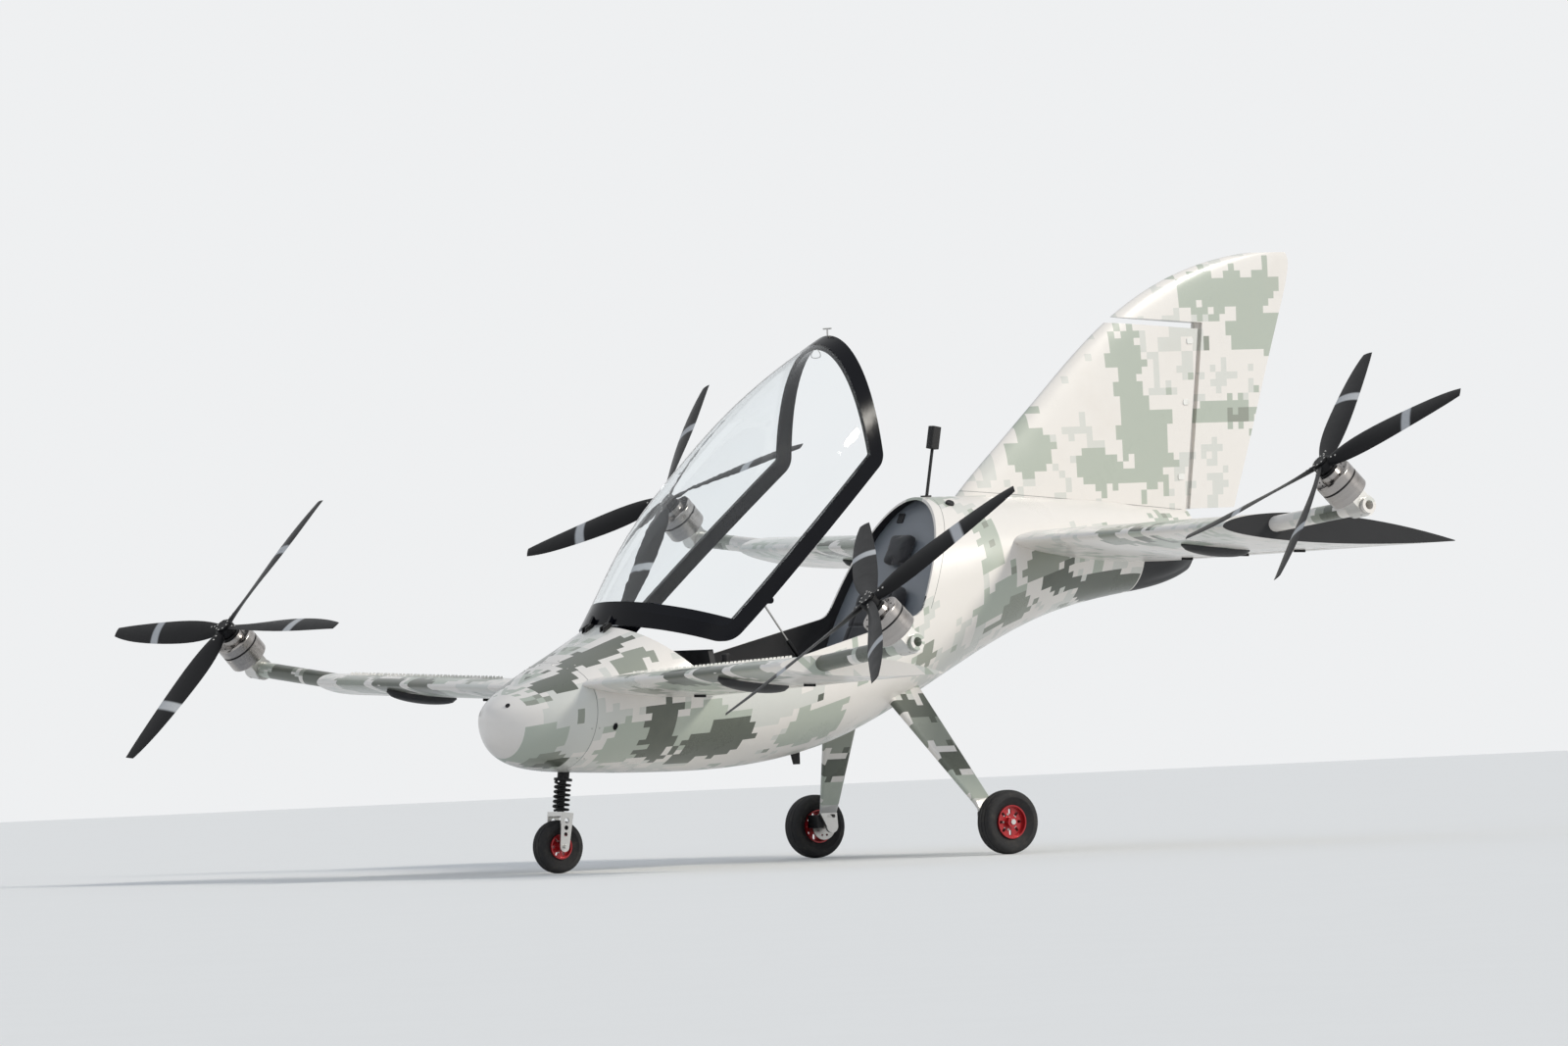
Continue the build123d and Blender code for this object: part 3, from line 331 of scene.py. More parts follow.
def stamped(shape, spots, normals, heading=None):
    # copies of a small shape at the spots, its height along each normal and its length along the heading
    points, faces = np.asarray(shape[0], float), shape[1]
    spots, n = np.atleast_2d(np.asarray(spots, float)), np.atleast_2d(np.asarray(normals, float))
    n = np.broadcast_to(n, spots.shape)
    n = n / np.linalg.norm(n, axis=1, keepdims=True)
    if heading is None:
        seed = np.where(np.abs(n[:, 2:3]) < 0.9, [[0, 0, 1.0]], [[1.0, 0, 0]])
    else:
        seed = np.broadcast_to(np.asarray(heading, float), n.shape)
    b = seed - n * np.sum(seed * n, 1, keepdims=True)
    b = b / np.linalg.norm(b, axis=1, keepdims=True)
    a = np.cross(b, n)
    out = (spots[:, None] + points[None, :, :1] * a[:, None] + points[None, :, 1:2] * b[:, None]
           + points[None, :, 2:] * n[:, None])
    moved = [[i + k * len(points) for i in q] for k in range(len(spots)) for q in faces]
    return out.reshape(-1, 3), moved


def block(size, corner, steps=4):
    # a box with rounded corners seen from above and a chamfered rim: rings of a rounded rectangle
    x, y, z = (0.5 * s for s in size)
    r = min(corner, 0.98 * x, 0.98 * y)
    t = np.concatenate([np.linspace(k * pi / 2, (k + 1) * pi / 2, steps) for k in range(4)])
    cx = np.repeat([x - r, -(x - r), -(x - r), x - r], steps)
    cy = np.repeat([y - r, y - r, -(y - r), -(y - r)], steps)
    rim = 0.25 * min(r, z)
    rows = []
    for inset, height in ((rim, -z), (0, -z + rim), (0, z - rim), (rim, z)):
        ring = (cx + (r - inset) * np.cos(t), cy + (r - inset) * np.sin(t), np.full_like(t, height))
        rows.append(np.stack(ring, -1))
    return np.concatenate(rows), ringFaces(4, len(t))


def boltHead(radius, height, sides=10):
    # a low dome on its seat, its foot just inside the surface
    return turned([(radius, -0.3 * height), (radius, 0.45 * height), (0.72 * radius, height),
                   (0.2 * radius, height)], sides=sides)


noseY = -2.050
bodyTable = np.array([  # station, half width, keel, height of greatest width, top
    (0.000, 0.010, 0.655, 0.664, 0.673), (0.030, 0.112, 0.552, 0.664, 0.738),
    (0.110, 0.226, 0.485, 0.676, 0.790), (0.250, 0.333, 0.447, 0.705, 0.868),
    (0.450, 0.402, 0.431, 0.730, 0.972), (0.700, 0.432, 0.421, 0.748, 1.120),
    (1.000, 0.441, 0.417, 0.764, 1.308), (1.350, 0.438, 0.436, 0.795, 1.436),
    (1.750, 0.407, 0.520, 0.900, 1.532), (2.150, 0.360, 0.688, 1.055, 1.568),
    (2.550, 0.322, 0.886, 1.210, 1.567), (2.950, 0.268, 1.038, 1.318, 1.554),
    (3.350, 0.190, 1.114, 1.352, 1.520), (3.710, 0.104, 1.200, 1.356, 1.484),
])
backEdge = {"foot": (-0.010, 1.060), "run": (0.4319, 0.9019)}  # side view of the opening's back edge
skinSteps = {"arc": 24, "length": 400, "end": 3.8}


def bodyShape(station):
    # half width, keel, widest height and top of the body at a station
    return [np.interp(station, bodyTable[:, 0], bodyTable[:, k]) for k in (1, 2, 3, 4)]


def bodySkin(points):
    # u is the length along the side, v the arc round the section from its widest line, up positive
    station = points[:, 1] - noseY
    half, keel, wide, top = bodyShape(station)
    high = np.where(points[:, 2] > wide, top - wide, wide - keel)
    angle = np.arctan2((points[:, 2] - wide) / high, np.abs(points[:, 0]) / half)
    t = angle[:, None] * (np.arange(skinSteps["arc"]) + 0.5) / skinSteps["arc"]
    arc = np.mean(np.hypot(half[:, None] * np.sin(t), high[:, None] * np.cos(t)), 1) * angle
    steps = np.linspace(0.0, skinSteps["end"], skinSteps["length"])
    slope = np.interp(steps, bodyTable[:, 0], np.gradient(bodyTable[:, 1], bodyTable[:, 0]))
    length = np.concatenate([[0], np.cumsum(np.hypot(1, slope)[:-1] * np.diff(steps))])
    return {"skin": np.stack([np.interp(station, steps, length), arc, np.zeros_like(arc)], -1)}


def flatSkin(first, second):
    # u and v are the steps along two fixed unit vectors, both sides of the aircraft alike
    first, second = np.array(first, float), np.array(second, float)

    def skin(points):
        folded = points * np.where(points[:, :1] < 0, (-1.0, 1.0, 1.0), (1.0, 1.0, 1.0))
        return {"skin": np.stack([folded @ first, folded @ second, 0 * points[:, 0]], -1)}
    return skin


wingSkin = flatSkin((0, 1, 0.9), (1, 0, 0))
finSkin = flatSkin((0, 1, 0), (0, 0, 1))
legSkin = flatSkin((0, 1, 0), (0.601, 0, -0.799))

motors = {  # shaft origins on the arm axis, shaft directions, the arm's own, and the groove round the can
    "front": ((2.55, -1.588, 0.932), (-0.076386, -0.696705, 0.713279)),
    "rear": ((2.55, 0.782, 1.440), (-0.065465, -0.696158, 0.714898)),
    "armWay": (0.995, 0, 0.098), "armRadius": 0.035,
    "grooveLow": 0.139, "grooveHigh": 0.152, "canRadius": 0.0875,
}


def roundSkin(origin, direction):
    # for turned pieces: height along the axis, arc round it at the arm's radius, distance from it
    a, b, d = crossAxes(direction)

    def skin(points):
        q = points - np.asarray(origin)
        x, y = q @ a, q @ b
        return {"skin": np.stack([q @ d, np.arctan2(y, x) * motors["armRadius"], np.hypot(x, y)], -1)}
    return skin


camo = {  # cell size, tones from the palest, size of the soft noise, weights of patches and chances
    "cell": 0.032, "white": (0.790, 0.752, 0.706, 1), "faint": (0.650, 0.650, 0.605, 1),
    "light": (0.445, 0.482, 0.412, 1), "mid": (0.290, 0.308, 0.258, 1), "dark": (0.108, 0.120, 0.094, 1),
    "scale": 2.6, "patch": 0.62, "chance": 0.20, "blockChance": 0.34,
    "dust": 3.0, "dustTone": (0.48, 0.42, 0.34, 1), "grain": 420.0,
    "seamHalf": 0.0013, "seamTone": (0.10, 0.10, 0.10, 1),
}


def camoPaint(name, skin, levels, patches=(), seams=(), shift=0.0, gloss=0.26):
    # square cells on the skin: each sums soft noise, its patches and two chances at its own middle, and
    # takes the darkest tone whose level the sum passes. A patch is its tone, a point on the skin and its
    # reach along u and v; it adds one minus the squared distance in reaches, and a white one takes that away
    # from every sum. A seam is its plane's normal, distance and lowest height: a thin groove near the plane.
    sheet = Sheet(name)
    where, cell = sheet.place(), camo["cell"]
    count = sheet.vector("FLOOR", sheet.vector("SCALE", sheet.own(), scale=1 / cell))
    column, row = sheet.axis(count, 0), sheet.axis(count, 1)
    middle = sheet.join((column + 0.5) * cell, (row + 0.5) * cell, 0.0)
    single = sheet.whiteNoise(column, row, 0.0)
    double = sheet.whiteNoise((column / 2).math("FLOOR"), (row / 2).math("FLOOR"), 3.0)
    chance = (single - 0.5) * camo["chance"] + (double - 0.5) * camo["blockChance"]
    colour = camo["white"]
    for k, tone in enumerate(("faint", "light", "mid", "dark")):
        field = sheet.noise(middle, camo["scale"], 2.0, 0.5, shift=(shift + 5.3 * k, 2.1 * k, 0.7 * k))
        field = field + chance
        for patchTone, centre, (long, tall) in patches:
            if patchTone in (tone, "white"):
                u, v = skin(np.array([centre], float))["skin"][0][:2]
                away = sheet.vector("SUBTRACT", middle, (u, v, 0.0))
                away = sheet.vector("DIVIDE", away, (long, tall, 1.0))
                near = 1 - sheet.vector("DOT_PRODUCT", away, away, output=1)
                weight = camo["patch"] if patchTone == tone else -camo["patch"]
                field = field + near.math("MAXIMUM", 0.0) * weight
        colour = sheet.mix(field > levels[k], colour, camo[tone])
    dust = sheet.noise(where, camo["dust"], 6.0, 0.6)
    grain = sheet.noise(where, camo["grain"], 2.0)
    colour = sheet.mix(sheet.ramp(dust, 0.50, 0.80) * 0.14, colour, camo["dustTone"])
    height, groove = grain * 0.02, None
    for normal, at, lowest in seams:
        away = (sheet.vector("DOT_PRODUCT", where, normal, output=1) - at).math("ABSOLUTE")
        one = (away < camo["seamHalf"]) * (sheet.axis(where, 2) > lowest)
        groove = one if groove is None else groove.math("MAXIMUM", one)
    if groove is not None:
        colour = sheet.mix(groove * 0.75, colour, camo["seamTone"])
        height = height - groove
    rough = gloss + sheet.ramp(dust, 0.4, 0.75) * 0.14 + grain * 0.03
    return sheet.finish(base=colour, rough=rough, coat=0.30, coatRough=0.12,
                        normal=sheet.bump(height, 0.35, 0.0012))


def toned(colour, factor):
    # a colour with its three parts times a factor
    return tuple(c * factor for c in colour[:3]) + (1,)


def plainCoat(name, colour, rough=0.35, metal=0.0, speckle=0.12, scale=60.0, bumpSize=0.0004, coat=0.0,
              wear=None, shine=0.5):
    # one colour that drifts softly towards a darker one, with fine grain in its gloss and height
    sheet = Sheet(name)
    where = sheet.place()
    cloud = sheet.noise(where, scale * 0.12, 5.0, 0.6)
    grain = sheet.noise(where, scale * 8, 3.0, 0.6)
    shade = sheet.mix(cloud, toned(colour, 1 - speckle), colour)
    if wear:
        shade = sheet.mix(sheet.ramp(cloud, 0.62, 0.78) * 0.6, shade, wear)
    return sheet.finish(base=shade, rough=rough + cloud * 0.12 - 0.06 + grain * 0.05, metal=metal, coat=coat,
                        specular=shine, normal=sheet.bump(grain, 0.25, bumpSize))


def turnedMetal(name, colour, rough, rings=1400.0):
    # lathe-turned metal: fine rings along the axis and broad soft bands
    sheet = Sheet(name)
    where = sheet.own()
    ring = sheet.noise(where, 1.0, 2.0, 0.6, stretch=(rings, 6.0, rings * 0.5))
    band = sheet.noise(where, 1.0, 2.0, 0.5, stretch=(70.0, 3.0, 40.0))
    grime = sheet.noise(where, 30.0, 4.0, 0.6)
    shade = sheet.mix(band, toned(colour, 0.70), colour)
    shade = sheet.mix(sheet.ramp(grime, 0.58, 0.8) * 0.4, shade, (0.16, 0.14, 0.12, 1))
    return sheet.finish(base=shade, rough=rough + ring * 0.12 + grime * 0.08 - 0.08, metal=1.0,
                        normal=sheet.bump(ring, 0.18, 0.0002))


def tyreFinish(name):
    # black rubber with road dust that gathers in broad clouds
    sheet = Sheet(name)
    where = sheet.place()
    dust = sheet.noise(where, 22.0, 5.0, 0.65)
    fine = sheet.noise(where, 900.0, 2.0)
    shade = sheet.mix(sheet.ramp(dust, 0.45, 0.8) * 0.5, (0.018, 0.018, 0.019, 1), (0.075, 0.066, 0.055, 1))
    return sheet.finish(base=shade, rough=0.62 + dust * 0.2, specular=0.35,
                        normal=sheet.bump(fine * 0.3 + dust * 0.5, 0.3, 0.0008))


def bladeFinish(name):
    # twill carbon: two crossed sines, and a soft silver band two thirds out
    sheet = Sheet(name)
    where = sheet.own()
    turn, out = sheet.axis(where, 1) * 12.0, sheet.axis(where, 2)
    weave = ((turn + out) * 700.0).math("SINE") * ((out - turn) * 700.0).math("SINE")
    dust = sheet.noise(sheet.place(), 18.0, 4.0, 0.6)
    shade = sheet.mix(sheet.ramp(weave, -0.6, 0.6), (0.004, 0.004, 0.005, 1), (0.012, 0.012, 0.013, 1))
    band = sheet.ramp(out, 0.448, 0.462) * (1 - sheet.ramp(out, 0.496, 0.512))
    shade = sheet.mix(band * 0.8, shade, (0.60, 0.61, 0.62, 1))
    return sheet.finish(base=shade, rough=0.32 + dust * 0.16 + band * 0.1, specular=0.18,
                        normal=sheet.bump(weave, 0.10, 0.0002))


glass = {"hinge": (-1.453, 1.062), "open": 27.5, "edge": (-1.600, 1.197), "edgeWay": (0.7298, -0.6837),
         "band": 0.118, "bandTones": ((0.003, 0.0035, 0.006, 1), (0.005, 0.006, 0.009, 1))}


def clearGlass(name):
    # blown acrylic with faint smears in its polish; a black band is painted along its front edge, where the
    # distance from the front edge's line, turned open with the canopy, is less than the band's width
    sheet = Sheet(name)
    where = sheet.place()
    smear = sheet.noise(where, 5.0, 6.0, 0.65, stretch=(1, 1, 3.0))
    shade = sheet.mix(smear, (0.955, 0.980, 0.990, 1), (0.975, 0.990, 0.995, 1))
    c, s = cos(radians(glass["open"])), sin(radians(glass["open"]))
    along, rise = -glass["edgeWay"][1], glass["edgeWay"][0]
    normal = (0, along * c - rise * s, along * s + rise * c)
    hinge, edge = glass["hinge"], glass["edge"]
    start = (normal[1] * hinge[0] + normal[2] * hinge[1] + along * (edge[0] - hinge[0])
             + rise * (edge[1] - hinge[1]))
    band = (sheet.vector("DOT_PRODUCT", where, normal, output=1) - start) < glass["band"]
    sheet.finish(base=shade, rough=sheet.ramp(smear, 0.55, 0.9) * 0.03, clear=1.0, ior=1.06, coat=0.6,
                 coatRough=0.02)
    return sheet.over(band, base=sheet.mix(smear, *glass["bandTones"]), rough=0.14, specular=0.16)


def clothFinish(name, colour, thread=900.0):
    # woven cover: crossed fine sines for the threads, broad clouds for wear, a little sheen
    sheet = Sheet(name)
    where = sheet.place()
    x, y, z = (sheet.axis(where, k) for k in range(3))
    weave = ((x + y) * thread).math("SINE") * ((y * 0.5 + z) * thread).math("SINE")
    cloud = sheet.noise(where, 14.0, 4.0, 0.6)
    shade = sheet.mix(cloud, toned(colour, 0.55), toned(colour, 1.3))
    return sheet.finish(base=shade, rough=0.82 + cloud * 0.1, sheen=0.25, sheenRough=0.5,
                        normal=sheet.bump(weave * 0.6 + cloud, 0.35, 0.0010))


def screenGlass(name):
    # a dark display behind glass with faint pale rows
    sheet = Sheet(name)
    where = sheet.place()
    rows = (sheet.axis(where, 2) * 260.0).math("SINE")
    faint = sheet.noise(where, 60.0, 2.0)
    lit = sheet.ramp(rows, 0.6, 0.9) * sheet.ramp(faint, 0.5, 0.6) * 0.5
    shade = sheet.mix(lit, (0.010, 0.014, 0.020, 1), (0.10, 0.16, 0.20, 1))
    return sheet.finish(base=shade, rough=0.08 + faint * 0.06, coat=1.0)


backPlane = (0, backEdge["run"][1], -backEdge["run"][0])  # its normal, aft and down
backAt = backEdge["foot"][0] * backPlane[1] + backEdge["foot"][1] * backPlane[2]
bodyPaint = camoPaint(
    "bodyPaint", bodySkin, (0.53, 0.68, 0.80, 0.86),
    patches=(
        ("dark", (0.39, -1.42, 0.62), (0.15, 0.19)), ("dark", (0.28, -1.23, 0.48), (0.30, 0.13)),
        ("dark", (0.35, -1.05, 0.56), (0.22, 0.13)), ("light", (0.336, -1.56, 0.555), (0.16, 0.18)),
        ("light", (0.35, -1.20, 0.60), (0.28, 0.15)), ("dark", (0.19, -1.82, 0.82), (0.15, 0.12)),
        ("dark", (0.20, -1.63, 0.94), (0.22, 0.12)), ("mid", (0.348, -1.495, 0.904), (0.16, 0.10)),
        ("light", (0.179, -1.917, 0.538), (0.14, 0.16)), ("mid", (0.13, -1.86, 0.50), (0.11, 0.11)),
        ("dark", (0.128, -1.826, 0.472), (0.08, 0.08)), ("dark", (0.127, -1.995, 0.719), (0.04, 0.05)),
        ("faint", (0.333, -1.80, 0.687), (0.16, 0.18)), ("dark", (0.257, 0.80, 1.19), (0.16, 0.14)),
        ("dark", (0.12, 1.12, 1.15), (0.26, 0.15)), ("mid", (0.25, 0.72, 1.28), (0.22, 0.12)),
        ("light", (0.332, 0.46, 1.10), (0.18, 0.12)), ("light", (0.278, 0.41, 1.39), (0.11, 0.18)),
        ("white", (0.05, -2.02, 0.66), (0.16, 0.60)), ("white", (0.12, 1.00, 1.52), (0.75, 0.16)),
        ("white", (0.31, 0.22, 1.30), (0.16, 0.30)), ("white", (0.30, 0.62, 1.40), (0.14, 0.16)),
        ("white", (0.42, -1.55, 0.78), (0.22, 0.10)), ("white", (0.30, -0.20, 0.72), (0.24, 0.16)),
        ("mid", (0.278, 0.43, 1.42), (0.06, 0.09)), ("mid", (0.33, 0.03, 0.861), (0.08, 0.10)),
        ("light", (0.331, -0.579, 0.584), (0.22, 0.14)), ("faint", (0.43, -0.95, 0.70), (0.30, 0.12)),
        ("mid", (0.30, 0.55, 1.02), (0.20, 0.10)),
    ),
    seams=(((0, 1, 0), noseY + 0.330, 0.0), (backPlane, backAt + 0.040, 1.08)))
finPaint = camoPaint(
    "finPaint", finSkin, (0.62, 0.78, 0.92, 1.20), shift=11.2,
    patches=(
        ("light", (0.06, 1.36, 2.06), (0.15, 0.30)), ("light", (0.06, 1.46, 1.74), (0.20, 0.26)),
        ("light", (0.06, 1.18, 1.66), (0.16, 0.12)), ("light", (0.01, 1.90, 2.44), (0.34, 0.16)),
        ("light", (0.02, 2.10, 2.26), (0.20, 0.12)), ("light", (0.02, 1.92, 1.90), (0.20, 0.08)),
        ("mid", (0.02, 1.92, 1.88), (0.17, 0.06)), ("mid", (0.05, 0.79, 1.756), (0.10, 0.07)),
        ("light", (0.05, 0.82, 1.74), (0.16, 0.12)),
    ),
    seams=(((0, 0.099, 1.0), 1.637, 0.0),))
wingPaint = camoPaint(
    "wingPaint", wingSkin, (0.60, 0.74, 0.88, 0.98), shift=5.9,
    patches=(
        ("light", (0.98, -1.66, 0.82), (0.12, 0.30)), ("dark", (0.98, -1.70, 0.82), (0.09, 0.17)),
        ("dark", (1.25, -1.72, 0.84), (0.07, 0.15)), ("mid", (1.55, -1.68, 0.84), (0.12, 0.22)),
        ("mid", (1.05, 0.60, 1.37), (0.12, 0.20)), ("light", (1.24, 0.66, 1.378), (0.16, 0.30)),
        ("dark", (1.24, 0.60, 1.375), (0.08, 0.15)), ("mid", (0.60, -1.64, 0.83), (0.12, 0.14)),
    ))
legPaint = camoPaint(
    "legPaint", legSkin, (0.46, 0.55, 0.74, 0.86), shift=23.4,
    patches=(
        ("dark", (0.29, 0.02, 0.665), (0.3, 0.10)), ("mid", (0.38, 0.05, 0.55), (0.3, 0.13)),
        ("dark", (0.47, 0.10, 0.425), (0.3, 0.10)), ("light", (0.55, 0.14, 0.30), (0.2, 0.08)),
    ))


def armSkin(row):
    # height along an arm from its motor, arc round it
    return roundSkin(motors[row][0], motors["armWay"])


frontArmPaint = camoPaint(
    "frontArmPaint", armSkin("front"), (0.36, 0.44, 0.56, 0.66), shift=31.0,
    patches=(("dark", (1.95, -1.588, 0.873), (0.20, 1.0)), ("dark", (2.32, -1.588, 0.909), (0.13, 1.0))))
rearArmPaint = camoPaint(
    "rearArmPaint", armSkin("rear"), (0.58, 0.74, 1.00, 1.00), shift=37.0,
    patches=(("dark", (2.36, 0.782, 1.421), (0.09, 1.0)), ("mid", (2.30, 0.782, 1.415), (0.12, 1.0))))
whitePaint = plainCoat("whitePaint", (0.82, 0.81, 0.77, 1), 0.30, coat=0.3, speckle=0.06,
                       wear=(0.5, 0.47, 0.42, 1))
cabinBlack = plainCoat("cabinBlack", (0.022, 0.022, 0.025, 1), 0.62, speckle=0.4, scale=120.0,
                       bumpSize=0.0008)
gelBlack = plainCoat("gelBlack", (0.003, 0.0035, 0.006, 1), 0.14, speckle=0.3, scale=30.0, shine=0.16)
# plain black of the tail vent, motor grooves and wing tips; on the underwing pods this black also paints the
# shadow seen under the wings
ventBlackAndPodShade = plainCoat("ventBlackAndPodShade", (0.020, 0.020, 0.022, 1), 0.45, speckle=0.4)
cabinGrey = plainCoat("cabinGrey", (0.20, 0.22, 0.25, 1), 0.38, speckle=0.1, scale=40.0, coat=0.2)
motorMetal = turnedMetal("motorMetal", (0.50, 0.47, 0.45, 1), 0.24)
castSilver = plainCoat("castSilver", (0.70, 0.69, 0.67, 1), 0.34, metal=1.0, speckle=0.2, scale=90.0)
blackOxide = plainCoat("blackOxide", (0.016, 0.016, 0.017, 1), 0.36, metal=0.6, speckle=0.3, scale=90.0)
boltSteel = plainCoat("boltSteel", (0.58, 0.57, 0.55, 1), 0.28, metal=1.0, speckle=0.3, scale=200.0)
rimRed = plainCoat("rimRed", (0.46, 0.012, 0.018, 1), 0.30, metal=0.35, speckle=0.3, coat=0.5, scale=80.0)
softRubber = plainCoat("softRubber", (0.018, 0.018, 0.019, 1), 0.7, speckle=0.4, scale=160.0)
tyreRubber = tyreFinish("tyreRubber")
carbonBlade = bladeFinish("carbonBlade")
acrylic = clearGlass("acrylic")
seatCloth = clothFinish("seatCloth", (0.030, 0.030, 0.034, 1))
display = screenGlass("display")
print("finishes ready")

sides = {"left": 1, "right": -1}


def insideOut(points, faces):
    # 1 for faces that look towards the middle of the body, which are its inner wall and cut edges
    normals, centre = faceNormals(points, faces), points[faces].mean(1)
    half, keel, wide, top = bodyShape(centre[:, 1] - noseY)
    high = np.where(centre[:, 2] > wide, top - wide, wide - keel)
    depth = np.hypot(centre[:, 0] / half, (centre[:, 2] - wide) / high)
    outward = normals[:, 0] * centre[:, 0] / half**2 + normals[:, 2] * (centre[:, 2] - wide) / high**2
    return ((outward < 0.15) & (depth < 0.985)).astype(int)


def tipBlack(points, faces):
    # 1 for the upright end face of a wing, whose normal lies along the span
    normals, centre = faceNormals(points, faces), points[faces].mean(1)
    return ((np.abs(normals[:, 0]) > 0.93) & (np.abs(centre[:, 0]) > 1.70)).astype(int)


def grooveBlack(origin, shaft):
    # 1 for the faces of a motor that lie inside the groove round its can
    a, b, d = crossAxes(shaft)

    def uses(points, faces):
        q = points[faces].mean(1) - np.asarray(origin)
        height, away = q @ d, np.hypot(q @ a, q @ b)
        return ((height > motors["grooveLow"]) & (height < motors["grooveHigh"])
                & (away < motors["canRadius"])).astype(int)
    return uses


def mirrored(point, sign):
    # a point or direction of the left side, on the given side
    return np.array((sign * point[0], *point[1:]))


def motorPlace(row, sign):
    # a motor's origin and shaft on one side
    return mirrored(motors[row][0], sign), mirrored(motors[row][1], sign)


smoothNode("fuselage", [bodyPaint, cabinBlack], bodySkin, uses=insideOut)
smoothNode("nose_cap", bodyPaint, bodySkin)
smoothNode("tail_vent", ventBlackAndPodShade)
for side, sign in sides.items():
    for row in ("front", "rear"):
        smoothNode(f"{row}_wing_{side}", [wingPaint, ventBlackAndPodShade], wingSkin, uses=tipBlack)
        smoothNode(f"{row}_flap_{side}", wingPaint, wingSkin)
        origin, shaft = motorPlace(row, sign)
        armPaint = frontArmPaint if row == "front" else rearArmPaint
        smoothNode(f"{row}_arm_{side}", armPaint, roundSkin(origin, mirrored(motors["armWay"], sign)))
        smoothNode(f"{row}_motor_{side}", [motorMetal, ventBlackAndPodShade], roundSkin(origin, shaft),
                   uses=grooveBlack(origin, shaft))
        smoothNode(f"{row}_propeller_{side}", carbonBlade, roundSkin(origin, shaft))
    smoothNode(f"main_leg_{side}", legPaint, legSkin)
    smoothNode(f"main_knuckle_{side}", castSilver)
    smoothNode(f"main_rim_{side}", rimRed)
    smoothNode(f"brake_disc_{side}", boltSteel)
for node in ("fin", "rudder"):
    smoothNode(node, finPaint, finSkin)
for node, material in (
    ("nose_rim", rimRed), ("nose_fork", castSilver), ("nose_strut", blackOxide), ("nose_spring", blackOxide),
    ("front_motor_mounts", castSilver), ("rear_motor_mounts", castSilver), ("brake_calipers", blackOxide),
    ("canopy_frame", gelBlack), ("canopy_glass", acrylic), ("canopy_hinge", blackOxide),
    ("cockpit_bulkhead", cabinGrey), ("instrument_panel", cabinBlack), ("control_stick", cabinBlack),
    ("batteries", cabinBlack), ("sensor_mast", softRubber), ("belly_aerial", softRubber),
    ("stay_cylinder", blackOxide), ("stay_rod", boltSteel), ("stay_sill_pin", blackOxide),
):
    smoothNode(node, material)
print("skins dressed")

tyres = {
    "main": {"radius": 0.140, "rim": 0.0732, "width": 0.096, "grooves": (-0.022, 0.0, 0.022),
             "centre": (0.744, noseY + 2.190, 0.140)},
    "nose": {"radius": 0.115, "rim": 0.0542, "width": 0.080, "grooves": (-0.018, 0.0, 0.018),
             "centre": (0, -1.71189, 0.115)},
    "grooveHalf": 0.0016, "grooveDepth": 0.0028, "sides": 96, "profileSteps": 33,
    "treadPower": 0.8, "wallPower": 0.55, "beadRise": 0.010, "beadOuter": 0.30, "beadInner": 0.27,
}


def tyreProfile(size):
    # an egg-shaped side from bead to crown (powers of cosine and sine), flattened tread with square grooves
    half, middle = size["width"] / 2, (size["radius"] + size["rim"]) / 2
    deep = size["radius"] - middle
    t = np.linspace(-0.5 * pi, 0.5 * pi, tyres["profileSteps"])
    heights = half * signedPower(np.sin(t), tyres["treadPower"])
    radii = middle + deep * signedPower(np.cos(t), tyres["wallPower"])
    w, d = tyres["grooveHalf"], tyres["grooveDepth"]
    cuts = np.array([cut for at in size["grooves"]
                     for cut in ((at - w, 0), (at - 0.7 * w, d), (at + 0.7 * w, d), (at + w, 0))])
    keep = np.min(np.abs(heights[:, None] - np.array(size["grooves"])[None, :]), 1) > 1.5 * w
    h = np.concatenate([heights[keep], cuts[:, 0]])
    r = np.concatenate([radii[keep], np.interp(cuts[:, 0], heights, radii) - cuts[:, 1]])
    order = np.argsort(h)
    outer = np.stack([r[order], h[order]], -1)
    low, high = size["rim"], size["rim"] + tyres["beadRise"]
    wide, narrow = tyres["beadOuter"] * size["width"], tyres["beadInner"] * size["width"]
    return np.concatenate([outer, [(high, wide), (low, narrow), (low, -narrow), (high, -wide)]])


def tyrePiece(node, kind, sign=1):
    # a tyre's profile turned about its axle, in place of the CAD node
    centre = mirrored(tyres[kind]["centre"], sign)
    shape = turned(tyreProfile(tyres[kind]), centre, (1, 0, 0), tyres["sides"], True)
    piece = makePiece(node + "Skin", *shape, tyreRubber, node, 30, slotOfNode.get(node))
    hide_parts(node)


for side, sign in sides.items():
    tyrePiece(f"main_tyre_{side}", "main", sign)
tyrePiece("nose_tyre", "nose")
print("tyres made")


def fastened(name, node, starts, heading, shape, material, smooth=30):
    # copies of a small shape seated where lines from the starts meet a CAD node
    spots, normals = surfaceHits(node, starts, heading)
    if len(spots):
        makePiece(name, *stamped(shape, spots, normals), material, node, smooth)


def ringOf(origin, direction, radius, count, height=0.0, phase=0.0):
    # points spaced evenly on a circle round an axis
    a, b, d = crossAxes(direction)
    t = phase + np.linspace(0, 2 * pi, count, endpoint=False)
    return np.asarray(origin) + radius * (np.cos(t)[:, None] * a + np.sin(t)[:, None] * b) + height * d


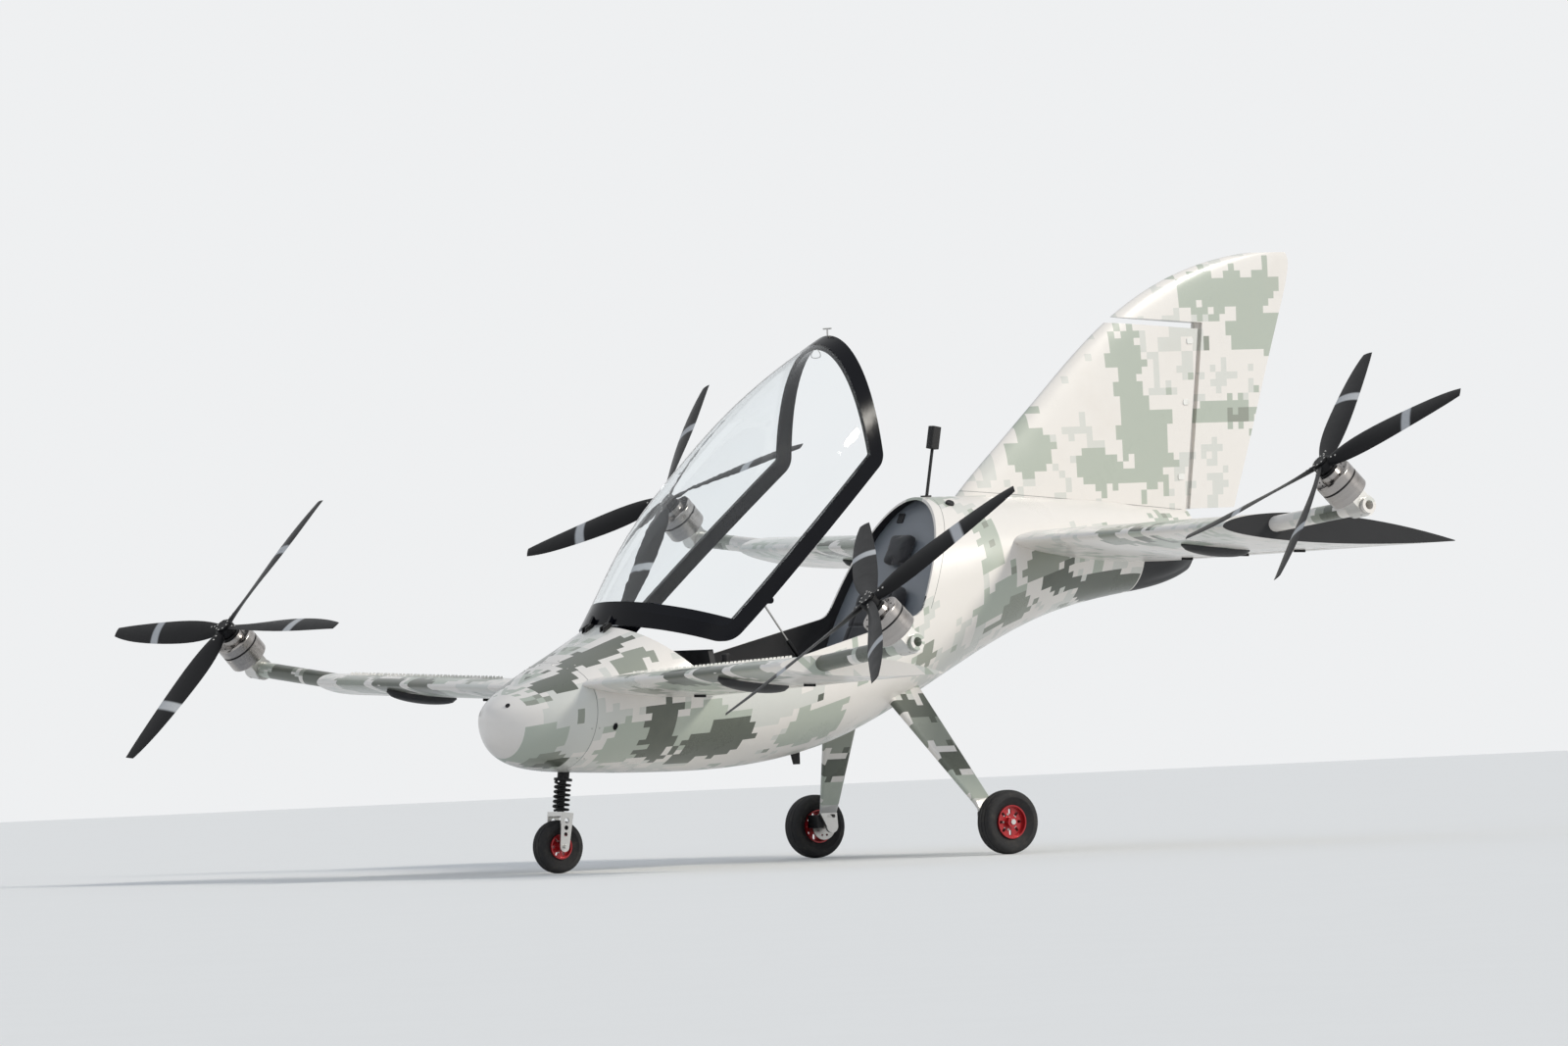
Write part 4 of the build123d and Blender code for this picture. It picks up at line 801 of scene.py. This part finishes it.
bolts = {  # radii of the heads, their height, the rings they stand on, where their lines start
    "hub": 0.0042, "motor": 0.0035, "mount": 0.0045, "wheel": 0.0055, "screw": 0.0040, "height": 0.0022,
    "hubRing": 0.030, "motorRing": 0.066, "wheelRing": 0.034, "noseRing": 0.026, "bladeRoot": (0.060, 0.082),
    "away": 0.40, "wheelAway": 0.30, "clamp": (0.034, 0.022, 0.30), "outerBlade": 0.60,
}
hubBolt, canBolt, mountBolt, wheelBolt, seamScrew = (
    boltHead(bolts[k], bolts["height"]) for k in ("hub", "motor", "mount", "wheel", "screw"))
for side, sign in sides.items():
    for row in ("front", "rear"):
        origin, shaft = motorPlace(row, sign)
        a, b, d = crossAxes(shaft)
        blades = f"{row}_propeller_{side}"
        turning = nodeArrays(blades)[0] - origin
        far = np.hypot(turning @ a, turning @ b) > bolts["outerBlade"]
        angle = np.arctan2(turning[far] @ b, turning[far] @ a)
        phase = np.angle(np.mean(np.exp(4j * angle))) / 4
        hubs = ringOf(origin, shaft, bolts["hubRing"], 8, bolts["away"], phase)
        fastened(f"{blades}HubBolts", blades, hubs, -d, hubBolt, boltSteel)
        roots = np.concatenate([ringOf(origin, shaft, r, 4, bolts["away"], phase)
                                for r in bolts["bladeRoot"]])
        fastened(f"{blades}RootBolts", blades, roots, -d, hubBolt, boltSteel)
        cans = ringOf(origin, shaft, bolts["motorRing"], 8, bolts["away"])
        fastened(f"{row}_motor_{side}Bolts", f"{row}_motor_{side}", cans, -d, canBolt, blackOxide)
        mounts = f"{row}_motor_mounts"
        acrossClamp, alongClamp, below = bolts["clamp"]
        clampEnds = np.array([(origin[0] + dx, origin[1] + dy, origin[2] - below)
                              for dx in (-acrossClamp, acrossClamp) for dy in (-alongClamp, alongClamp)])
        fastened(f"{mounts}{side.title()}Bolts", mounts, clampEnds, (0, 0, 1), mountBolt, boltSteel)
    centre = mirrored(tyres["main"]["centre"], sign)
    wheel = ringOf(centre, (sign, 0, 0), bolts["wheelRing"], 5, bolts["wheelAway"])
    fastened(f"main_rim_{side}Bolts", f"main_rim_{side}", wheel, (-sign, 0, 0), wheelBolt, boltSteel)
wheel = ringOf(tyres["nose"]["centre"], (1, 0, 0), bolts["noseRing"], 5, bolts["wheelAway"])
fastened("noseRimBolts", "nose_rim", wheel, (-1, 0, 0), hubBolt, boltSteel)

seamLook = {"noseStation": 0.314, "behind": 0.346, "count": 9, "from": -0.42, "to": 0.92, "kept": 0.47,
            "reach": 0.9}
around = np.linspace(seamLook["from"] * pi, seamLook["to"] * pi, seamLook["count"])
around = around[np.abs(around) < seamLook["kept"] * pi]
for name, node, station in (("noseScrews", "nose_cap", seamLook["noseStation"]),
                            ("bodyScrews", "fuselage", seamLook["behind"])):
    half, keel, wide, top = bodyShape(station)
    out = np.stack([np.cos(around), np.zeros_like(around), np.sin(around)], -1)
    for side, sign in sides.items():
        way = out * (sign, 1, 1)
        starts = np.array((0, noseY + station, wide)) + way * seamLook["reach"]
        fastened(name + side.title(), node, starts, -way, seamScrew, boltSteel)

vanes = {"first": 0.52, "last": 1.74, "pitch": 0.030, "aft": 0.120, "length": 0.022, "height": 0.010,
         "thick": 0.0012, "yaw": 14.0, "sunk": 0.002, "topAhead": 0.2, "above": 1.2}


def vaneShape(turn):
    # a thin plate whose upper edge is shorter than its foot, turned about its height
    long, thick, tall = vanes["length"] / 2, vanes["thick"] / 2, vanes["height"]
    foot, ahead = -vanes["sunk"], -vanes["topAhead"] * long
    corners = np.array([
        (-thick, -long, foot), (thick, -long, foot), (thick, long, foot), (-thick, long, foot),
        (-thick, ahead, tall), (thick, ahead, tall), (thick, long, tall), (-thick, long, tall)])
    c, s = cos(radians(turn)), sin(radians(turn))
    corners = corners @ np.array([(c, s, 0), (-s, c, 0), (0, 0, 1)])
    return corners, [[0, 3, 2, 1], [4, 5, 6, 7], [0, 1, 5, 4], [1, 2, 6, 5], [2, 3, 7, 6], [3, 0, 4, 7]]


for side, sign in sides.items():
    node = f"front_wing_{side}"
    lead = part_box(f"front_wing_{side}")[0][1]
    span = np.arange(vanes["first"], vanes["last"], vanes["pitch"])
    starts = np.stack(np.broadcast_arrays(sign * span, lead + vanes["aft"], vanes["above"]), -1)
    spots, normals = surfaceHits(node, starts, (0, 0, -1))
    pairs = [stamped(vaneShape(turn), spots[k::2], normals[k::2], (0, 1, 0))
             for k, turn in ((0, vanes["yaw"]), (1, -vanes["yaw"]))]
    makePiece(f"{node}Vanes", *together(*pairs), whitePaint, node, None)
print("fasteners and vanes placed")

trim = {  # node, a point beside it, radius, height, finish and squash of each round cover
    "sidePort": ("fuselage", (0.370, -1.635, 0.625), 0.017, 0.003, gelBlack, 0.62),
    "noseDot": ("nose_cap", (0.092, -2.002, 0.732), 0.011, 0.004, gelBlack, 1.0),
    "spinePuck": ("fuselage", (0.136, 0.322, 1.534), 0.020, 0.011, softRubber, 1.0),
}


def spotDisc(name, node, at, radius, height, material, squash, reach=0.35):
    # a low round cover on the skin, seated by a line through the given point towards the body's middle
    at = np.asarray(at, float)
    half, keel, wide, top = bodyShape(at[1] - noseY)
    out = np.array((at[0] / half**2, 0, (at[2] - wide) / (top - wide if at[2] > wide else wide - keel) ** 2))
    out /= np.linalg.norm(out)
    spots, normals = surfaceHits(node, [at + out * reach], -out)
    points, faces = turned([(radius, -0.003), (radius, 0.6 * height), (0.85 * radius, height),
                            (0.55 * radius, 0.8 * height), (0.1 * radius, 0.8 * height)], sides=28)
    makePiece(name, *stamped((points * (1, squash, 1), faces), spots, normals, (0, 1, 0)), material, node, 30)


for name, values in trim.items():
    spotDisc(name, *values)

pods = {"span": 1.30, "length": 0.36, "width": 0.11, "depth": 0.036, "chordShare": 0.36, "rings": 9,
        "sides": 40, "tip": 0.02, "foot": (0.98, 0.012)}


def podShape():
    # a long drop: an ellipse in plan whose depth follows the square root of one minus its radius squared
    t = np.linspace(0, 2 * pi, pods["sides"], endpoint=False)
    ring = np.stack([0.5 * pods["width"] * np.cos(t), 0.5 * pods["length"] * np.sin(t)], -1)
    shares = np.linspace(pods["tip"], 1, pods["rings"])
    levels = [(k, -pods["depth"] * np.sqrt(max(1 - k**2, 0))) for k in shares] + [pods["foot"]]
    rows = [np.concatenate([ring * k, np.full((len(ring), 1), height)], 1) for k, height in levels]
    return np.concatenate(rows), ringFaces(len(rows), len(ring))


for side, sign in sides.items():
    for row in ("front", "rear"):
        node = f"{row}_wing_{side}"
        low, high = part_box(node)
        middle = low[1] + pods["chordShare"] * (high[1] - low[1])
        spots, normals = surfaceHits(node, [(sign * pods["span"], middle, 0.0)], (0, 0, 1))
        spot, slope = spots[0], normals[0]
        points, faces = podShape()
        points = points + spot
        along = (points[:, 0] - spot[0]) * slope[0] + (points[:, 1] - spot[1]) * slope[1]
        points[:, 2] -= along / slope[2]
        # the pods stand for real fairings, and their black finish also paints the shadows seen under the
        # wings: painted shadow
        makePiece(f"{node}PodPaintedShade", points, faces, ventBlackAndPodShade, node, 40)
print("pods placed")


def swollen(name, shape, cap, pressure=4.0, voxel=0.006, frames=20):
    mesh = bpy.data.meshes.new(name + "Start")
    mesh.from_pydata(np.asarray(shape[0]).tolist(), [], shape[1])
    work = bpy.data.objects.new(name + "Start", mesh)
    bpy.context.scene.collection.objects.link(work)
    remesh = work.modifiers.new("remesh", "REMESH")
    remesh.mode = "VOXEL"
    remesh.voxel_size = voxel
    start = bpy.data.meshes.new_from_object(work.evaluated_get(bpy.context.evaluated_depsgraph_get()))
    work.modifiers.clear()
    work.data = start
    cloth = work.modifiers.new("cloth", "CLOTH")
    cloth.settings.use_pressure = True
    cloth.settings.uniform_pressure_force = pressure
    cloth.settings.effector_weights.gravity = 0.0
    for number in range(1, frames + 1):
        bpy.context.scene.frame_set(number)
    blown = work.evaluated_get(bpy.context.evaluated_depsgraph_get())
    before, after = meshArrays(start)[0], meshArrays(blown.data)[0]
    work.modifiers.clear()
    far = np.linalg.norm(after - before, axis=1, keepdims=True)
    held = before + (after - before) * np.minimum(1, cap / np.maximum(far, 1e-9))
    bpy.context.scene.frame_set(1)
    start.vertices.foreach_set("co", held.ravel())
    finer = work.modifiers.new("finer", "SUBSURF")
    finer.levels = finer.render_levels = 1
    done = bpy.data.meshes.new_from_object(work.evaluated_get(bpy.context.evaluated_depsgraph_get()))
    points, corners = meshArrays(done)
    bpy.data.objects.remove(work)
    return points.astype(float), corners.reshape(-1, 4)


def padShape(centre, across, along, size, rise=0.4, edge=0.25, rows=25, columns=64):
    # a rounded cushion: powers of sine and cosine give a flat middle and full corners
    across, along = np.asarray(across, float), np.asarray(along, float)
    normal = np.cross(across, along)
    u = np.linspace(-0.499 * pi, 0.499 * pi, rows)[:, None]
    v = np.linspace(0, 2 * pi, columns, endpoint=False)[None, :]
    x = size[0] * signedPower(np.cos(u), rise) * signedPower(np.cos(v), edge)
    y = size[1] * signedPower(np.cos(u), rise) * signedPower(np.sin(v), edge)
    z = size[2] * signedPower(np.sin(u), rise) * np.ones_like(v)
    points = np.asarray(centre) + x[..., None] * across + y[..., None] * along + z[..., None] * normal
    return points.reshape(-1, 3), ringFaces(rows, columns)


def channelled(points, centre, across, along, lines, ribs, depth=0.007, width=0.006):
    # sewn channels: points near a line sink along the pad's height by a bell curve of their distance
    across, along = np.asarray(across, float), np.asarray(along, float)
    normal = np.cross(across, along)
    q = points - np.asarray(centre)
    x, y, z = q @ across, q @ along, q @ normal
    dip = sum(np.exp(-((y - at) / width) ** 2) for at in lines)
    dip = dip + sum(np.exp(-((x - at) / width) ** 2) for at in ribs)
    return points - (np.clip(dip, 0, 1) * depth * np.sign(z))[:, None] * normal


seatLook = {
    "pan": {"centre": (0, -0.410, 0.641), "along": (0, 1, 0), "size": (0.176, 0.227, 0.031),
            "lines": (-0.14, -0.05, 0.05, 0.14), "ribs": (-0.11, 0.11)},
    "back": {"centre": (0, -0.048, 0.960), "along": (0, 0.4319, 0.9019), "size": (0.176, 0.252, 0.026),
             "lines": (-0.16, -0.06, 0.05, 0.15), "ribs": (-0.11, 0.11)},
    "head": {"centre": (0, 0.140, 1.341), "along": (0, 0.4319, 0.9019), "size": (0.078, 0.068, 0.024),
             "lines": (), "ribs": ()},
    "cap": 0.007, "fill": 0.75,
}
for name, node in (("pan", "seat"), ("back", "seat"), ("head", "headrest")):
    pad = seatLook[name]
    shape = padShape(pad["centre"], (1, 0, 0), pad["along"], pad["size"])
    points, faces = swollen(name, shape, seatLook["cap"])
    points = channelled(points, pad["centre"], (1, 0, 0), pad["along"], pad["lines"], pad["ribs"])
    piece = makePiece(f"{name}Pad", points, faces, seatCloth, node, 60, slotOfNode.get(node))
    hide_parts(node)
print("pads sewn")

cabin = {
    "panelFace": -1.119, "screenHeight": 0.845,
    "screens": ((-0.17, 0.21, 0.14), (0.17, 0.21, 0.14), (0.0, 0.10, 0.07)),  # middle, width and height
    "plates": {  # how much wider than the screen, thickness, corner, distance from the panel, finish
        "panelBezels": (0.022, 0.008, 0.014, 0.001, gelBlack),
        "panelScreens": (0.0, 0.006, 0.008, 0.0035, display),
    },
    "switches": {"span": 0.20, "count": 9, "height": 0.735},
    "toggle": ((0.006, -0.002), (0.006, 0.003), (0.0022, 0.004), (0.0028, 0.016), (0.0010, 0.0175)),
    "boot": {"radius": 0.055, "foot": (0.060, -0.004), "neck": (0.014, 0.062), "folds": 6, "pitch": 0.010,
             "narrowing": 0.12, "out": 0.006, "in": -0.004, "above": 0.004},
    "box": {"size": (0.044, 0.044, 0.012), "corner": 0.004, "at": (-0.116, 0.237, 1.479),
            "way": (0, -0.9019, 0.4319)},
}
for name, (wider, thick, corner, away, material) in cabin["plates"].items():
    plates = [stamped(block((wide + wider, high + wider, thick), corner),
                      [(x, cabin["panelFace"] + away, cabin["screenHeight"])], (0, 1, 0), (0, 0, 1))
              for x, wide, high in cabin["screens"]]
    makePiece(name, *together(*plates), material, "instrument_panel", 30)
switches = cabin["switches"]
switchSpots = np.array([(x, cabin["panelFace"], switches["height"])
                        for x in np.linspace(-switches["span"], switches["span"], switches["count"])])
toggle = turned(cabin["toggle"], sides=12)
makePiece("panelSwitches", *stamped(toggle, switchSpots, (0, 1, 0)), boltSteel, "instrument_panel", 30)
boot, stick = cabin["boot"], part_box("control_stick")
foot = ((stick[0][0] + stick[1][0]) / 2, (stick[0][1] + stick[1][1]) / 2, stick[0][2] + boot["above"])
folds = [(boot["radius"] * (1 - boot["narrowing"] * k) + boot["out" if k % 2 else "in"], boot["pitch"] * k)
         for k in range(boot["folds"])]
makePiece("stickBoot", *turned([boot["foot"]] + folds + [boot["neck"]], foot, (0, 0, 1), 32), softRubber,
          "control_stick", 50)
box = cabin["box"]
makePiece("bulkheadBox", *stamped(block(box["size"], box["corner"]), [box["at"]], box["way"]), cabinBlack,
          "fuselage", 30)
print("cockpit fitted")

tailLook = {"heights": (1.62, 1.95, 2.22), "station": 3.672, "lean": 0.1217, "foot": 1.478, "beside": 0.5,
            "cover": (0.036, 0.026, 0.009), "corner": 0.008}
starts = np.array([
    (tailLook["beside"] * sign, noseY + tailLook["station"] + tailLook["lean"] * (z - tailLook["foot"]), z)
    for z in tailLook["heights"] for sign in sides.values()])
spots, normals = surfaceHits("fin", starts, -np.sign(starts) * (1, 0, 0))
cover = block(tailLook["cover"], tailLook["corner"])
makePiece("rudderHingeCovers", *stamped(cover, spots, normals, (0, 0, 1)), whitePaint, "fin", 40)
brackets = {"spans": (0.62, 1.04, 1.46), "ahead": 0.030, "below": 0.3, "size": (0.010, 0.060, 0.022),
            "corner": 0.004}
bracket = block(brackets["size"], brackets["corner"])
for side, sign in sides.items():
    for row in ("front", "rear"):
        wing, node = f"{row}_wing_{side}", f"{row}_flap_{side}"
        low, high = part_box(node)
        starts = [(sign * x, low[1] - brackets["ahead"], brackets["below"]) for x in brackets["spans"]]
        spots, normals = surfaceHits(wing, starts, (0, 0, 1))
        if len(spots):
            makePiece(f"{wing}Brackets", *stamped(bracket, spots, normals, (0, 1, 0)), blackOxide, wing, 30)

latch = {"stem": 0.030, "bar": 0.030, "radius": 0.0035, "wire": 0.0018, "loopWide": 0.036, "loopDeep": 0.034,
         "loopFoot": 0.012, "sunk": 0.004, "middle": 0.03, "lowest": 1.9, "lean": 0.4}


def chaikin(points, times=3):
    # corners cut at a quarter and three quarters of each run, again and again, with both ends kept
    points = np.asarray(points, float)
    for _ in range(times):
        here, ahead = points[:-1], points[1:]
        cut = np.stack([0.75 * here + 0.25 * ahead, 0.25 * here + 0.75 * ahead], 1).reshape(-1, 3)
        points = np.concatenate([points[:1], cut, points[-1:]])
    return points


rim = nodeArrays("canopy_frame")[0]
rim = rim[(np.abs(rim[:, 0]) < latch["middle"]) & (rim[:, 2] >= latch["lowest"])]
top, bottom = (rim[k] * (0, 1, 1) for k in (np.argmax(rim[:, 2]), np.argmin(rim[:, 2])))
stem = [top + (0, 0, -latch["sunk"]), top + (0, 0, 0.5 * latch["stem"]), top + (0, 0, latch["stem"])]
bar = [top + (x, 0, latch["stem"]) for x in (-latch["bar"], 0, latch["bar"])]
wide, deep, near = latch["loopWide"], latch["loopDeep"], latch["loopFoot"]
loop = chaikin([bottom + place for place in (
    (-near, 0, latch["sunk"]), (-wide, 0, -latch["lean"] * deep), (-wide, 0, -deep),
    (wide, 0, -deep), (wide, 0, -latch["lean"] * deep), (near, 0, latch["sunk"]))])
rod, wire = circle(latch["radius"], 12), circle(latch["wire"], 8)
makePiece("canopyLatch", *together(carried(stem, rod), carried(bar, rod), carried(loop, wire)), boltSteel,
          "canopy_frame", 40)
print("tail, flap and latch fittings placed")

# the camera: bearing, height and distance of the eye, focal length in pixels, and small turns
view = {"azimuth": 55.5107, "height": 0.98347, "distance": 72.0, "focal": 16791.6, "roll": -0.0396974,
        "yaw": 0.00535091, "pitch": 0.00688172, "pixels": 1600, "sensor": 36.0}
stageLook = {"floor": ((0.78, 0.78, 0.77, 1), (0.80, 0.80, 0.79, 1)), "size": 60.0, "key": 2.0, "sky": 0.66,
             "keyWay": (-0.70, -0.40, -0.50), "keySize": 10.0, "keyTone": (1.0, 0.96, 0.88),
             "bands": ((0.0, 0.55), (0.10, 0.92), (0.45, 0.60), (0.80, 0.95)),
             "bandTop": (0.90, 0.92, 0.95, 1)}
floorSheet = Sheet("stageFloor")
floorGrain = floorSheet.noise(floorSheet.place(), 2.0, 3.0)
floorSheet.finish(base=floorSheet.mix(floorGrain, *stageLook["floor"]), rough=0.85)
half = stageLook["size"] / 2
floorMesh = bpy.data.meshes.new("stageFloor")
floorCorners = [(-half, -half, 0), (half, -half, 0), (half, half, 0), (-half, half, 0)]
floorMesh.from_pydata(floorCorners, [], [(0, 1, 2, 3)])
floorMesh.materials.append(floorSheet.material)
floorPiece = bpy.data.objects.new("stageFloor", floorMesh)
bpy.context.scene.collection.objects.link(floorPiece)

world = bpy.data.worlds.new("studio")
bpy.context.scene.world = world
world.use_nodes = True
tree = world.node_tree
tree.nodes.clear()
rays, toward = tree.nodes.new("ShaderNodeLightPath"), tree.nodes.new("ShaderNodeTexCoord")
split, bands = tree.nodes.new("ShaderNodeSeparateXYZ"), tree.nodes.new("ShaderNodeValToRGB")
stops = bands.color_ramp.elements
for place, tone in stageLook["bands"]:
    stop = stops.new(place) if place > 0 else stops[0]
    stop.color = (tone * 0.97, tone * 0.985, tone, 1)
stops[-1].color = stageLook["bandTop"]
pale, soft, shine = (tree.nodes.new("ShaderNodeBackground") for _ in range(3))
pale.inputs["Color"].default_value = (0.86, 0.87, 0.88, 1)
soft.inputs["Color"].default_value = (0.80, 0.86, 0.95, 1)
soft.inputs["Strength"].default_value = stageLook["sky"]
clear, gloss = (tree.nodes.new("ShaderNodeMixShader") for _ in range(2))
out = tree.nodes.new("ShaderNodeOutputWorld")
seen = tree.nodes.new("ShaderNodeMath")
seen.operation = "MAXIMUM"
# the camera and the glass see a pale room, glossy surfaces a banded one, all else soft daylight
for source, socket in (
    (toward.outputs["Generated"], split.inputs[0]), (split.outputs[2], bands.inputs[0]),
    (bands.outputs[0], shine.inputs["Color"]), (rays.outputs["Is Camera Ray"], seen.inputs[0]),
    (rays.outputs["Is Transmission Ray"], seen.inputs[1]),
    (rays.outputs["Is Glossy Ray"], gloss.inputs[0]), (soft.outputs[0], gloss.inputs[1]),
    (shine.outputs[0], gloss.inputs[2]), (seen.outputs[0], clear.inputs[0]),
    (gloss.outputs[0], clear.inputs[1]), (pale.outputs[0], clear.inputs[2]),
    (clear.outputs[0], out.inputs[0]),
):
    tree.links.new(source, socket)

sun = bpy.data.lights.new("keySun", "SUN")
sun.energy = stageLook["key"]
sun.angle = radians(stageLook["keySize"])
sun.color = stageLook["keyTone"]
sunPiece = bpy.data.objects.new("keySun", sun)
sunPiece.rotation_mode = "QUATERNION"
sunPiece.rotation_quaternion = Vector(stageLook["keyWay"]).to_track_quat("-Z", "Y")
bpy.context.scene.collection.objects.link(sunPiece)

az, turnedAz = radians(view["azimuth"]), radians(view["azimuth"]) + view["yaw"]
spot = Vector((sin(az), -cos(az), 0)) * view["distance"] + Vector((0, 0, view["height"]))
look = Vector((-sin(turnedAz) * cos(view["pitch"]), cos(turnedAz) * cos(view["pitch"]), sin(view["pitch"])))
right = look.cross(Vector((0, 0, 1))).normalized()
up = right.cross(look)
rolledRight = cos(view["roll"]) * right + sin(view["roll"]) * up
rolledUp = -sin(view["roll"]) * right + cos(view["roll"]) * up
camera = bpy.data.cameras.new("camera")
camera.sensor_width = view["sensor"]
camera.lens = view["focal"] / view["pixels"] * view["sensor"]
camera.clip_start, camera.clip_end = 1.0, 400.0
cameraPiece = bpy.data.objects.new("camera", camera)
bpy.context.scene.collection.objects.link(cameraPiece)
basis = Matrix((rolledRight, rolledUp, -look)).transposed().to_4x4()
cameraPiece.matrix_world = Matrix.Translation(spot) @ basis
bpy.context.scene.camera = cameraPiece
bpy.context.scene.view_settings.view_transform = "Standard"

print("ready")
